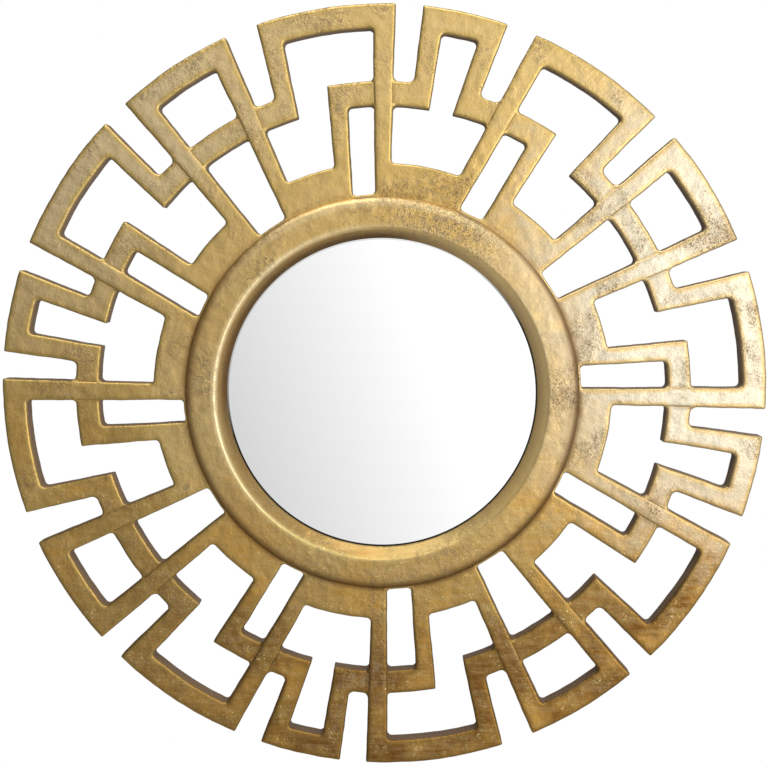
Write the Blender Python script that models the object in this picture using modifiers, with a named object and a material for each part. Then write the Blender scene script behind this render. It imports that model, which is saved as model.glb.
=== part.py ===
"""Wall mirror: a round looking glass held in one cast frame of woven key straps.

The casting is drawn facing the viewer about the mirror's centre: x to the right, y up, and z from
the casting's flat back towards the viewer. One empty then stands it upright and carries it to the
keyhole plate, whose back face is the model's origin. Lengths are in metres, angles in degrees.
"""

import math

import bmesh
import bpy
from mathutils import Matrix, Vector

# Cast frame: radii and widths of the fretwork
RIM_RADIUS = 0.4500
RIM_WIDTH = 0.0277
BAND_RADIUS = 0.3634
BAND_WIDTH = 0.0278
WEB_RADIUS = 0.2704
LEG_WIDTH_AT_RIM = 0.0258
LEG_WIDTH_AT_WEB = 0.0194

# Cast frame: depths, and how far the straps pass below one another
FRET_DEPTH = 0.0210
BAND_DROP = 0.0018
WEB_DROP = 0.0006
COLLAR_DROP = 0.0012
EDGE_ROUND = 0.0026

# Ring moulding around the glass
COLLAR_RADIUS = 0.2345
MOULDING_RADIUS = 0.2322
MOULDING_RISE = 0.0070
MOULDING_ROUND = 0.0095
CREST_RADIUS = 0.1985
CREST_ROUND = 0.0045
BEVEL_TILT = 55.0
SIGHT_RADIUS = 0.1842
LIP_THICKNESS = 0.0012
REBATE_DEPTH = 0.0078
LEG_BURY = 0.0120

# The legs of one quarter in clockwise order: angle at the rim, angle at the web
LEGS = {
    "first_spoke": (0.40, 0.35),
    "small_key_left": (7.80, 7.40),
    "small_key_right": (17.10, 15.00),
    "second_spoke": (24.75, 21.65),
    "left_post": (31.90, 32.00),
    "left_drop": (42.70, 41.80),
    "bridge_left": (50.10, 50.10),
    "bridge_right": (64.50, 63.75),
    "right_drop": (72.75, 69.80),
    "right_post": (82.30, 80.10),
}
QUARTER_STARTS = (0.0, 89.9, 180.35, 270.3)
ARC_STEP = 3.0
POST_REACH = 10.0

# Looking glass and the board behind it
GLASS_THICKNESS = 0.0040
BOARD_THICKNESS = 0.0030
REBATE_OVERLAP = 0.0115
REBATE_CLEARANCE = 0.0015
SEAT_GAP = 0.0003

# Retaining clips and their screws
CLIP_ANGLES = (45.0, 135.0, 225.0, 315.0)
CLIP_WIDTH = 0.0120
CLIP_THICKNESS = 0.0008
CLIP_GRIP = 0.0100
SCREW_RADIUS = 0.0016
SCREW_HEAD_RADIUS = 0.0036
SCREW_HEAD_HEIGHT = 0.0018
SCREW_CROWN_RADIUS = 0.0022
SCREW_CROWN_DROP = 0.0003
SCREW_LENGTH = 0.0090
SCREW_CLEARANCE = 0.0003

# Keyhole plate that the frame hangs by
PLATE_WIDTH = 0.0640
PLATE_HEIGHT = 0.0300
PLATE_THICKNESS = 0.0030
PLATE_CORNER = 0.0040
KEYHOLE_RADIUS = 0.0060
KEYHOLE_SLOT_RADIUS = 0.0028
KEYHOLE_SLOT_RISE = 0.0100
KEYHOLE_DROP = 0.0050
PLATE_SCREW_SPACING = 0.0480
COUNTERSINK_RADIUS = 0.0036
COUNTERSINK_DEPTH = 0.0020
PILOT_SPARE = 0.0010
CUT_PAST = 0.0020
POCKET_MARGIN = 0.0015
POCKET_DEPTH = 0.0090
BEARING_RISE = 0.0100

ROUND_SIDES = 72
SMALL_SIDES = 12
WELD_DISTANCE = 0.00002
FLAT_ANGLE = 0.3

# Worked out from the above
RIM_INNER = RIM_RADIUS - RIM_WIDTH
BAND_INNER = BAND_RADIUS - BAND_WIDTH
REBATE_RADIUS = SIGHT_RADIUS + REBATE_OVERLAP
GLASS_RADIUS = REBATE_RADIUS - REBATE_CLEARANCE
BACK_RING_MIDDLE = (REBATE_RADIUS + COLLAR_RADIUS) / 2
GLASS_BACK = REBATE_DEPTH - SEAT_GAP - GLASS_THICKNESS
BOARD_BACK = GLASS_BACK - SEAT_GAP - BOARD_THICKNESS
LEG_END_RADIUS = COLLAR_RADIUS - LEG_BURY
CLIP_SCREW_RADIUS = BACK_RING_MIDDLE
CLIP_INNER_END = REBATE_RADIUS - CLIP_GRIP
CLIP_OUTER_END = CLIP_SCREW_RADIUS + CLIP_WIDTH / 2
CLIP_LENGTH = CLIP_OUTER_END - CLIP_INNER_END
CLIP_CENTRE = (CLIP_INNER_END + CLIP_OUTER_END) / 2

BRASS = ("antique_brass", (0.46, 0.32, 0.12), 0.38, 1.0)
SILVERED_GLASS = ("silvered_glass", (0.90, 0.91, 0.91), 0.03, 1.0)
BOARD = ("backing_board", (0.20, 0.13, 0.08), 0.85, 0.0)
STEEL = ("zinc_plated_steel", (0.55, 0.55, 0.53), 0.40, 1.0)


def clear_scene():
    for obj in list(bpy.data.objects):
        bpy.data.objects.remove(obj, do_unlink=True)


def new_collection(name):
    made = bpy.data.collections.new(name)
    bpy.context.scene.collection.children.link(made)
    return made


def material(finish):
    name, colour, roughness, metallic = finish
    made = bpy.data.materials.get(name) or bpy.data.materials.new(name)
    made.use_nodes = True
    shader = made.node_tree.nodes["Principled BSDF"]
    shader.inputs["Base Color"].default_value = (*colour, 1.0)
    shader.inputs["Roughness"].default_value = roughness
    shader.inputs["Metallic"].default_value = metallic
    return made


def polar(radius, degrees):
    """A point about the mirror's centre; the angle runs clockwise from the top."""
    angle = math.radians(degrees)
    return Vector((radius * math.sin(angle), radius * math.cos(angle)))


def degrees_of(point):
    return math.degrees(math.atan2(point.x, point.y))


def leg(name, quarter):
    """A leg's angles at the rim and at the web, in any quarter, also one counted past the top."""
    turns, index = divmod(quarter, len(QUARTER_STARTS))
    start = QUARTER_STARTS[index] + 360.0 * turns
    at_rim, at_web = LEGS[name]
    return start + at_rim, start + at_web


def leg_side(angles, side, radius):
    """Where the straight left (-1), middle (0) or right (1) line of a leg crosses a radius."""
    widths = (LEG_WIDTH_AT_RIM, LEG_WIDTH_AT_WEB)
    at_rim, at_web = (
        polar(r, degrees + side * math.degrees(math.asin(width / 2 / r)))
        for r, degrees, width in zip((RIM_RADIUS, WEB_RADIUS), angles, widths)
    )
    along = at_rim - at_web
    a = along.dot(along)
    b = at_web.dot(along)
    c = at_web.dot(at_web) - radius**2
    return at_web + along * ((math.sqrt(b * b - a * c) - b) / a)


def arc_between(start, end, radius):
    """Points on the shorter arc from start to end, leaving both out."""
    first = degrees_of(start)
    turn = (degrees_of(end) - first + 180.0) % 360.0 - 180.0
    count = max(1, round(abs(turn) / ARC_STEP))
    return [polar(radius, first + turn * i / count) for i in range(1, count)]


def outline(corners):
    """A closed outline from (leg, side, radius) corners: equal radii are joined by an arc."""
    points = []
    for (angles, side, radius), (next_angles, next_side, next_radius) in zip(
        corners, corners[1:] + corners[:1]
    ):
        start = leg_side(angles, side, radius)
        points.append(start)
        if radius == next_radius:
            end = leg_side(next_angles, next_side, radius)
            points += arc_between(start, end, radius)
    return points


def stadium(half_length, radius, count=8):
    """A slot outline along x with round ends."""
    right = [
        Vector((half_length + radius * math.cos(t), radius * math.sin(t)))
        for t in (math.pi * (i / count - 0.5) for i in range(count + 1))
    ]
    return right + [-point for point in right]


def circle(centre, radius, count=SMALL_SIDES):
    return [
        centre + Vector((radius * math.cos(t), radius * math.sin(t)))
        for t in (2 * math.pi * i / count for i in range(count))
    ]


def flat_piece(name, outlines, low, high, collection, placed=Matrix.Identity(4)):
    """A mesh extruded from low to high out of a filled 2D curve; later outlines are its holes."""
    curve = bpy.data.curves.new(name, "CURVE")
    curve.dimensions = "2D"
    curve.fill_mode = "BOTH"
    curve.extrude = (high - low) / 2
    for points in outlines:
        spline = curve.splines.new("POLY")
        spline.points.add(len(points) - 1)
        for spline_point, point in zip(spline.points, points):
            spline_point.co = (point.x, point.y, 0.0, 1.0)
        spline.use_cyclic_u = True
    drawn = bpy.data.objects.new(name + "_outline", curve)
    collection.objects.link(drawn)
    bpy.context.view_layer.update()
    graph = bpy.context.evaluated_depsgraph_get()
    mesh = bpy.data.meshes.new_from_object(drawn.evaluated_get(graph))
    bpy.data.objects.remove(drawn)
    mesh.transform(Matrix.Translation((0.0, 0.0, (high + low) / 2)))
    shape = bmesh.new()
    shape.from_mesh(mesh)
    bmesh.ops.remove_doubles(shape, verts=shape.verts, dist=1e-5)
    bmesh.ops.recalc_face_normals(shape, faces=shape.faces)
    shape.to_mesh(mesh)
    shape.free()
    made = bpy.data.objects.new(name, mesh)
    made.matrix_world = placed
    collection.objects.link(made)
    return made


def round_front_edges(obj, front):
    """Rounds the outline of a flat piece's front face."""
    shape = bmesh.new()
    shape.from_mesh(obj.data)
    upper = [
        edge
        for edge in shape.edges
        if all(abs(vert.co.z - front) < 1e-6 for vert in edge.verts)
        and abs(edge.link_faces[0].normal.z - edge.link_faces[1].normal.z) > 0.5
    ]
    bmesh.ops.bevel(
        shape,
        geom=upper,
        offset=EDGE_ROUND,
        segments=2,
        profile=0.5,
        affect="EDGES",
        clamp_overlap=True,
    )
    bmesh.ops.triangulate(shape, faces=shape.faces)
    shape.to_mesh(obj.data)
    shape.free()


def share(value, start, end):
    return min(1.0, max(0.0, (value - start) / (end - start)))


def sink_band(obj, first_angle, last_angle):
    """Lowers a strap's front where it passes under others: fully along the band, ramping out
    along its legs to the rim and to the web."""
    middle = (first_angle + last_angle) / 2
    half_turn = (last_angle - first_angle) / 2
    for vert in obj.data.vertices:
        if vert.co.z < FRET_DEPTH / 2:
            continue
        point = Vector((vert.co.x, vert.co.y))
        away = (degrees_of(point) - middle + 180.0) % 360.0 - 180.0
        if abs(away) > half_turn:
            continue
        below_rim = share(point.length, RIM_INNER, BAND_RADIUS)
        above_web = share(point.length, WEB_RADIUS, BAND_INNER)
        vert.co.z -= BAND_DROP * min(below_rim, above_web)


def strap(name, corners, collection):
    made = flat_piece(name, [outline(corners)], 0.0, FRET_DEPTH, collection)
    round_front_edges(made, FRET_DEPTH)
    return made


def wide_key(quarter, collection):
    """Spoke, rim, drop, band under the bridge, drop, rim and the next quarter's first spoke."""
    left, right = leg("second_spoke", quarter), leg("first_spoke", quarter + 1)
    left_drop, right_drop = leg("left_drop", quarter), leg("right_drop", quarter)
    corners = [
        (left, -1, LEG_END_RADIUS),
        (left, -1, RIM_RADIUS),
        (left_drop, 1, RIM_RADIUS),
        (left_drop, 1, BAND_RADIUS),
        (right_drop, -1, BAND_RADIUS),
        (right_drop, -1, RIM_RADIUS),
        (right, 1, RIM_RADIUS),
        (right, 1, LEG_END_RADIUS),
        (right, -1, LEG_END_RADIUS),
        (right, -1, RIM_INNER),
        (right_drop, 1, RIM_INNER),
        (right_drop, 1, BAND_INNER),
        (left_drop, -1, BAND_INNER),
        (left_drop, -1, RIM_INNER),
        (left, 1, RIM_INNER),
        (left, 1, LEG_END_RADIUS),
    ]
    made = strap(f"wide_key_{quarter + 1}", corners, collection)
    first = (left[0] + left_drop[1]) / 2
    last = (right[0] + right_drop[0]) / 2
    sink_band(made, first, last)


def small_key(quarter, collection):
    """Post, band under the first spoke, small key, band under the second spoke, post."""
    first_post, last_post = leg("right_post", quarter - 1), leg("left_post", quarter)
    left, right = leg("small_key_left", quarter), leg("small_key_right", quarter)
    corners = [
        (first_post, -1, LEG_END_RADIUS),
        (first_post, -1, BAND_RADIUS),
        (left, -1, BAND_RADIUS),
        (left, -1, RIM_RADIUS),
        (right, 1, RIM_RADIUS),
        (right, 1, BAND_RADIUS),
        (last_post, 1, BAND_RADIUS),
        (last_post, 1, LEG_END_RADIUS),
        (last_post, -1, LEG_END_RADIUS),
        (last_post, -1, BAND_INNER),
        (right, -1, BAND_INNER),
        (right, -1, RIM_INNER),
        (left, 1, RIM_INNER),
        (left, 1, BAND_INNER),
        (first_post, 1, BAND_INNER),
        (first_post, 1, LEG_END_RADIUS),
    ]
    made = strap(f"small_key_{quarter + 1}", corners, collection)
    sink_band(made, first_post[1] - POST_REACH, last_post[1] + POST_REACH)


def bridge(quarter, collection):
    """The two spokes joined at the rim that pass over the wide key's band."""
    left, right = leg("bridge_left", quarter), leg("bridge_right", quarter)
    corners = [
        (left, -1, LEG_END_RADIUS),
        (left, -1, RIM_RADIUS),
        (right, 1, RIM_RADIUS),
        (right, 1, LEG_END_RADIUS),
        (right, -1, LEG_END_RADIUS),
        (right, -1, RIM_INNER),
        (left, 1, RIM_INNER),
        (left, 1, LEG_END_RADIUS),
    ]
    strap(f"bridge_{quarter + 1}", corners, collection)


def web(quarter, number, left, right, collection):
    """A plate between two neighbouring legs, from the collar out to the web radius."""
    corners = [
        (left, 0, LEG_END_RADIUS),
        (left, 0, WEB_RADIUS),
        (right, 0, WEB_RADIUS),
        (right, 0, LEG_END_RADIUS),
    ]
    front = FRET_DEPTH - WEB_DROP
    made = flat_piece(f"web_{quarter + 1}_{number}", [outline(corners)], 0.0, front, collection)
    round_front_edges(made, front)


def quarter_pieces(quarter, collection):
    webs = (
        (leg("first_spoke", quarter), leg("second_spoke", quarter)),
        (leg("left_post", quarter), leg("bridge_left", quarter)),
        (leg("bridge_right", quarter), leg("right_post", quarter)),
    )
    wide_key(quarter, collection)
    small_key(quarter, collection)
    bridge(quarter, collection)
    for i, (left, right) in enumerate(webs):
        web(quarter, i + 1, left, right, collection)


def quarter_round(centre, size, start, end, count):
    """Points of an arc in the (radius, height) plane of the ring's section."""
    return [
        (centre[0] + size[0] * math.cos(t), centre[1] + size[1] * math.sin(t))
        for t in (math.radians(start + (end - start) * i / count) for i in range(count + 1))
    ]


def ring_section():
    """The ring moulding's section as (radius, height) points, counter-clockwise from the back."""
    top = FRET_DEPTH + MOULDING_RISE
    foot = FRET_DEPTH - COLLAR_DROP
    flank = (MOULDING_RADIUS - MOULDING_ROUND, foot)
    lip = REBATE_DEPTH + LIP_THICKNESS
    crest = (CREST_RADIUS, top - CREST_ROUND)
    points = [(REBATE_RADIUS, 0.0), (COLLAR_RADIUS, 0.0), (COLLAR_RADIUS, foot)]
    points += quarter_round(flank, (MOULDING_ROUND, top - foot), 0, 90, 4)
    points += quarter_round(crest, (CREST_ROUND, CREST_ROUND), 90, 90 + BEVEL_TILT, 3)
    points += [(SIGHT_RADIUS, lip), (SIGHT_RADIUS, REBATE_DEPTH), (REBATE_RADIUS, REBATE_DEPTH)]
    return points


def turned(name, section, sides, collection):
    """A closed section turned about the local z axis with a Screw modifier."""
    mesh = bpy.data.meshes.new(name)
    shape = bmesh.new()
    verts = [shape.verts.new((radius, 0.0, height)) for radius, height in section]
    closes = section[0][0] > 0.0
    for first, second in zip(verts, verts[1:] + (verts[:1] if closes else [])):
        shape.edges.new((first, second))
    shape.to_mesh(mesh)
    shape.free()
    made = bpy.data.objects.new(name, mesh)
    collection.objects.link(made)
    turn = made.modifiers.new("turn", "SCREW")
    turn.steps = turn.render_steps = sides
    turn.use_merge_vertices = True
    turn.merge_threshold = 1e-5
    turn.use_normal_calculate = True
    turn.use_normal_flip = True
    return made


def combine(obj, helpers, operation):
    """Joins to a piece, or cuts from it, everything in a collection in one exact step."""
    step = obj.modifiers.new(helpers.name, "BOOLEAN")
    step.operation = operation
    step.solver = "EXACT"
    step.operand_type = "COLLECTION"
    step.collection = helpers
    for helper in helpers.objects:
        helper.hide_render = True
        helper.display_type = "WIRE"


def tidy_surface(obj):
    """Welds the joints' shortest edges and merges faces that lie in one plane."""
    weld = obj.modifiers.new("weld", "WELD")
    weld.merge_threshold = WELD_DISTANCE
    flat = obj.modifiers.new("merge_flat_faces", "DECIMATE")
    flat.decimate_type = "DISSOLVE"
    flat.angle_limit = math.radians(FLAT_ANGLE)


def clip_screw_places():
    """Clip screw centres on the casting's back."""
    return [polar(CLIP_SCREW_RADIUS, degrees) for degrees in CLIP_ANGLES]


def plate_screw_places():
    return [Vector((side * PLATE_SCREW_SPACING / 2, BACK_RING_MIDDLE)) for side in (-1, 1)]


def keyhole(margin=0.0, count=8):
    """The keyhole's outline about the plate's centre: a round entry below, a slot above."""
    entry, slot = KEYHOLE_RADIUS + margin, KEYHOLE_SLOT_RADIUS + margin
    centre = Vector((0.0, -KEYHOLE_DROP))
    spread = math.asin(slot / entry)
    points = []
    for i in range(count + 1):
        t = math.pi / 2 + spread + (2 * math.pi - 2 * spread) * i / count
        points.append(centre + Vector((entry * math.cos(t), entry * math.sin(t))))
    top = centre + Vector((0.0, KEYHOLE_SLOT_RISE))
    for i in range(count // 2 + 1):
        t = math.pi * i / (count // 2)
        points.append(top + Vector((slot * math.cos(t), slot * math.sin(t))))
    return points


def rear_cutters(collection):
    """Pilot holes for the screws, and the pocket that the wall screw's head goes into."""
    pilot = SCREW_RADIUS + SCREW_CLEARANCE
    deep = SCREW_LENGTH + PILOT_SPARE
    for i, place in enumerate(clip_screw_places() + plate_screw_places()):
        flat_piece(f"pilot_{i + 1}", [circle(place, pilot)], -CUT_PAST, deep, collection)
    wide = KEYHOLE_RADIUS + POCKET_MARGIN
    rise = KEYHOLE_SLOT_RISE / 2
    middle = Vector((0.0, BACK_RING_MIDDLE + rise - KEYHOLE_DROP))
    pocket = [middle + Vector((p.y, p.x)) for p in reversed(stadium(rise, wide))]
    flat_piece("head_pocket", [pocket], -CUT_PAST, POCKET_DEPTH, collection)


def cast_frame(parts, fretwork, rear_cuts):
    made = turned("cast_frame", ring_section(), ROUND_SIDES, parts)
    for quarter in range(len(QUARTER_STARTS)):
        quarter_pieces(quarter, fretwork)
    rear_cutters(rear_cuts)
    combine(made, fretwork, "UNION")
    combine(made, rear_cuts, "DIFFERENCE")
    tidy_surface(made)
    made.data.materials.append(material(BRASS))


def disc(name, radius, back, thickness, finish, collection):
    bpy.ops.mesh.primitive_cylinder_add(
        vertices=ROUND_SIDES,
        radius=radius,
        depth=thickness,
        location=(0.0, 0.0, back + thickness / 2),
    )
    made = bpy.context.object
    for old in list(made.users_collection):
        old.objects.unlink(made)
    collection.objects.link(made)
    made.name = made.data.name = name
    made.data.materials.append(material(finish))
    return made


def retaining_clip(number, degrees, collection):
    """A flat steel tongue from the back ring over the board's edge, with a hole for its screw."""
    along = stadium((CLIP_LENGTH - CLIP_WIDTH) / 2, CLIP_WIDTH / 2)
    hole = circle(Vector((CLIP_SCREW_RADIUS - CLIP_CENTRE, 0.0)), SCREW_RADIUS + SCREW_CLEARANCE)
    top = -SEAT_GAP
    made = flat_piece(
        f"retaining_clip_{number}", [along, hole], top - CLIP_THICKNESS, top, collection
    )
    made.data.materials.append(material(STEEL))
    place = polar(CLIP_CENTRE, degrees)
    made.location = (place.x, place.y, 0.0)
    made.rotation_euler.z = math.radians(90.0 - degrees)
    return made


def screw_section(seat, countersunk):
    """Half of a screw's outline from the axis at its head's top down to its point."""
    if countersunk:
        head = [(0.0, seat), (COUNTERSINK_RADIUS - SEAT_GAP, seat)]
        head.append((SCREW_RADIUS, seat + COUNTERSINK_DEPTH))
    else:
        crown = seat - SCREW_HEAD_HEIGHT
        head = [(0.0, crown), (SCREW_CROWN_RADIUS, crown + SCREW_CROWN_DROP)]
        head.append((SCREW_HEAD_RADIUS, seat))
        head.append((SCREW_RADIUS, seat))
    return head + [(SCREW_RADIUS, SCREW_LENGTH - SCREW_RADIUS), (0.0, SCREW_LENGTH)]


def screw(name, place, seat, countersunk, collection):
    made = turned(name, screw_section(seat, countersunk), SMALL_SIDES, collection)
    made.location = (place.x, place.y, 0.0)
    made.data.materials.append(material(STEEL))
    return made


def rounded_rectangle(width, height, corner, count=3):
    points = []
    for i, (sx, sy) in enumerate(((1, 1), (-1, 1), (-1, -1), (1, -1))):
        centre = Vector((sx * (width / 2 - corner), sy * (height / 2 - corner)))
        for j in range(count + 1):
            t = math.pi / 2 * (i + j / count)
            points.append(centre + Vector((corner * math.cos(t), corner * math.sin(t))))
    return points


def keyhole_plate(collection, countersinks):
    """The steel hanger: a plate with a keyhole and two countersunk screw holes."""
    top = -SEAT_GAP
    low = top - PLATE_THICKNESS
    outer = rounded_rectangle(PLATE_WIDTH, PLATE_HEIGHT, PLATE_CORNER)
    made = flat_piece("keyhole_plate", [outer, keyhole()], low, top, collection)
    made.location = (0.0, BACK_RING_MIDDLE, 0.0)
    made.data.materials.append(material(STEEL))
    narrow = SCREW_RADIUS + SCREW_CLEARANCE
    flare = (COUNTERSINK_RADIUS - narrow) / COUNTERSINK_DEPTH
    section = [
        (0.0, low - CUT_PAST),
        (COUNTERSINK_RADIUS + flare * CUT_PAST, low - CUT_PAST),
        (narrow, low + COUNTERSINK_DEPTH),
        (narrow, top + CUT_PAST),
        (0.0, top + CUT_PAST),
    ]
    for i, place in enumerate(plate_screw_places()):
        sink = turned(f"countersink_{i + 1}", section, SMALL_SIDES, countersinks)
        sink.location = (place.x, place.y, 0.0)
    combine(made, countersinks, "DIFFERENCE")


def hang_upright(pieces, parts):
    """Stands the drawn pieces up and brings the plate's bearing face to the origin."""
    centre = bpy.data.objects.new("mirror_centre", None)
    parts.objects.link(centre)
    centre.rotation_euler.x = math.radians(90.0)
    centre.location = (0.0, -(PLATE_THICKNESS + SEAT_GAP), -(BACK_RING_MIDDLE + BEARING_RISE))
    for piece in pieces:
        piece.parent = centre
    bpy.context.view_layer.update()


def main():
    clear_scene()
    parts = new_collection("wall_mirror")
    fretwork = new_collection("fretwork")
    rear_cuts = new_collection("rear_cuts")
    countersinks = new_collection("countersinks")
    cast_frame(parts, fretwork, rear_cuts)
    disc("mirror_glass", GLASS_RADIUS, GLASS_BACK, GLASS_THICKNESS, SILVERED_GLASS, parts)
    disc("backing_board", GLASS_RADIUS, BOARD_BACK, BOARD_THICKNESS, BOARD, parts)
    for i, (degrees, place) in enumerate(zip(CLIP_ANGLES, clip_screw_places())):
        retaining_clip(i + 1, degrees, parts)
        screw(f"clip_screw_{i + 1}", place, -CLIP_THICKNESS - 2 * SEAT_GAP, False, parts)
    keyhole_plate(parts, countersinks)
    for i, place in enumerate(plate_screw_places()):
        screw(f"plate_screw_{i + 1}", place, -PLATE_THICKNESS, True, parts)
    groups = (parts, fretwork, rear_cuts, countersinks)
    hang_upright([piece for group in groups for piece in group.objects], parts)


main()
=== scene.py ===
"""Looks of the wall mirror: the cast brass-finished frame, its glass, and the fittings behind."""

import math
from collections import namedtuple

import bmesh
import bpy
import numpy as np
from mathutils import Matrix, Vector, geometry, kdtree, noise


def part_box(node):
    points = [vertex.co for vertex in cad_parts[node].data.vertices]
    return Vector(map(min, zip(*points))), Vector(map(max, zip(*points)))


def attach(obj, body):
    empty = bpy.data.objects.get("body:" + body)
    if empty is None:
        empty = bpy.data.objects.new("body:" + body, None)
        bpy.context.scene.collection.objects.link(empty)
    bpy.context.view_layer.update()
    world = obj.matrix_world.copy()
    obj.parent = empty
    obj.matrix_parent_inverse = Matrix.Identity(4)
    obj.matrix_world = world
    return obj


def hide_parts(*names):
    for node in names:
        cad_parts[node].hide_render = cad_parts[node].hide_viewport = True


# The photograph's width and focal length in pixels, the viewpoint that its perspective gives, in
# shares of the rim's radius from the front's centre, and the camera's turn in degrees
PHOTO_WIDTH = 768
FOCAL_PIXELS = 1231.14
EYE_RIGHT = 0.0891
EYE_AWAY = 3.2
EYE_UP = 0.3644
LOOK_LEFT = 1.4745
LOOK_DOWN = 5.969
SENSOR_WIDTH = 36.0
VIEW_DEPTH = 50.0

# The casting, as drawn: radii, strap widths and heights above its flat back
RIM_RADIUS = 0.4500
BAND_RADIUS = 0.3634
BAND_INNER = 0.3356
RIM_INNER = 0.4223
WEB_RADIUS = 0.2704
LEG_WIDTH_AT_RIM = 0.0258
LEG_WIDTH_AT_WEB = 0.0194
FRET_DEPTH = 0.0210
BAND_DROP = 0.0018
WEB_DROP = 0.0006
WEB_BLEND = 0.0120
QUARTER_STARTS = (0.0, 89.9, 180.35, 270.3)
SPOKES = {
    "first_spoke": (0.40, 0.35),
    "second_spoke": (24.75, 21.65),
    "bridge_left": (50.10, 50.10),
    "bridge_right": (64.50, 63.75),
}

# Edges of the casting
SLICE_HEIGHT = 0.0135
CORNER_TURN = 20.0
SHORTEST_SIDE = 1e-5
ARC_SLACK = 0.0003
RIM_SLACK = 0.0010
TANGENT_STEP = 1e-5
WELD = 1e-6
CASTING_WELD = 2e-6
INNER_FILLET = 0.0050
SLOT_FILLET = 0.0070
OUTER_FILLET = 0.0016
INNER_CORNER_STEPS = 5
OUTER_CORNER_STEPS = 3
EDGE_REACH = 0.0034
EDGE_FALL = 0.0023
EDGE_ROWS = 5
BACK_CHAMFER = 0.0009
WALL_ROWS = 4
EDGE_GLOW = 0.0038
BORDER_WEAR = 0.9
CREASE_WIDTH = 0.0018
FOOT_WIDTH = 0.0060
EDGE_FOOT = {"edge": 0.5, "wall": 0.6}
SHARP_ANGLE = 55.0

# Painted shade and painted highlights round the ring: how strong they are, where the shade gives
# way to light and where the highlight lies, as shares of the way up, down, left or right from the
# centre
FLANK_SHADE = 0.80
FLANK_CORE = 0.0030
FLANK_FADE = 0.0130
FOOT_SHADE = 0.90
BEVEL_SHADE = 0.95
BEVEL_SHADE_START = 0.25
BEVEL_SHADE_GROWTH = 1.2
# Strength of the painted highlight on the flank, face and bevel
FLANK_HIGHLIGHT = 0.45
FACE_HIGHLIGHT = 0.6
BEVEL_HIGHLIGHT = 0.85
FLANK_LIT = 0.95
INNER_LIT = 0.85
LEAST_CREST_HIGHLIGHT = 0.25
LIT_ABOVE = (0.45, 0.90)
LIT_BELOW = (0.0, 0.95)
LIT_RIGHT = (0.0, 0.8)
HIGHLIGHT_LEFT = (-0.1, 0.6)
HIGHLIGHT_RIGHT = (-0.1, 0.8)

# Unevenness of the casting: how many waves to the metre, and how high they are
WAVER_SEED = 7
WAVER_START = 0.2050
WAVER_GROWTH = 0.0350
SLOW_WAVER = 22.0
SLOW_WAVER_SIZE = 0.0006
QUICK_WAVER = 75.0
QUICK_WAVER_SIZE = 0.00025
LUMPS = 85.0
LUMP_SIZE = 0.00030
GRAINS = 260.0
GRAIN_SIZE = 0.00010
SEAT_FADE = 0.0080

# Pocket behind the keyhole
POCKET_RADIUS = 0.0075
POCKET_RISE = 0.0100
POCKET_DEPTH = 0.0090
POCKET_SIDES = 32

# Spacing of the mesh
OUTLINE_STEP = 0.0036
SURFACE_STEP = 0.0036
SHOULDER_STEP = 0.0030
SHOULDER_CLEAR = 0.0005
SHOULDER_ROWS = (-0.35, 0.02, 0.10, 0.26, 0.5, 0.8)
RING_CLEAR = 0.0025
EDGE_CLEAR = 0.0022
ROW_CLEAR = 0.0020
BACK_CLEAR = 0.0060
PLAN_MERGE = 1e-8
BACK_STEP = 0.0120
RING_SIDES = 480
MOULDING_GAP = 0.0004

# Ring moulding
MOULDING_RADIUS = 0.2322
MOULDING_RISE = 0.0070
MOULDING_ROUND = 0.0095
ROUND_ANGLES = (12, 26, 40, 54, 68, 80, 90)
FACE_CROWN = 0.0006
FACE_ROWS = 6
CREST_RADIUS = 0.1985
CREST_ROUND = 0.0045
CREST_ROWS = 5
BEVEL_TILT = 55.0
BEVEL_ROWS = 6
BEVEL_BULGE = 0.0008
SIGHT_RADIUS = 0.1842
LIP_HEIGHT = 0.0090
REBATE_DEPTH = 0.0078
REBATE_RADIUS = 0.1957

# Screws: heads with a cross recess
SCREW_SIDES = 32
HEAD_STEPS = 2
DOME_RINGS = 6
TOP_FROM = 0.9
SHANK_OVERLAP = 0.1
SCREW_SHARP_ANGLE = 30.0
SCREW_SEED = 3
PAN_SCREW = {
    "Top radius": 0.0034,
    "Seat radius": 0.0036,
    "Head height": 0.0013,
    "Crown": 0.0005,
    "Shank radius": 0.0016,
    "Recess reach": 0.0038,
    "Recess width": 0.0009,
    "Recess depth": 0.0022,
}
SUNK_SCREW = {
    "Top radius": 0.0035,
    "Seat radius": 0.0016,
    "Head height": 0.0020,
    "Crown": 0.0,
    "Shank radius": 0.0016,
    "Recess reach": 0.0038,
    "Recess width": 0.0009,
    "Recess depth": 0.0022,
}

# Spots of the finish, and the centre of the painted sheen at right: radius from the centre,
# and degrees clockwise from the top
SHEEN_SPOT_RADIUS = 0.4300
SHEEN_SPOT_ANGLE = 76.0
BROWN_SPOT_RADIUS = 0.4600
BROWN_SPOT_ANGLE = 120.0
GREY_SPOT_RADIUS = 0.4700
GREY_SPOT_ANGLE = -48.0
CRUST_RADIUS = 0.2220
CRUST_ANGLE = 20.0
CRUST_REACH = 0.1050
CRUST_CORE = CRUST_REACH * 0.4
DOWN_TILT = 0.25
LOW_LEFT = (-0.6, 0.0, -0.8)

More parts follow.
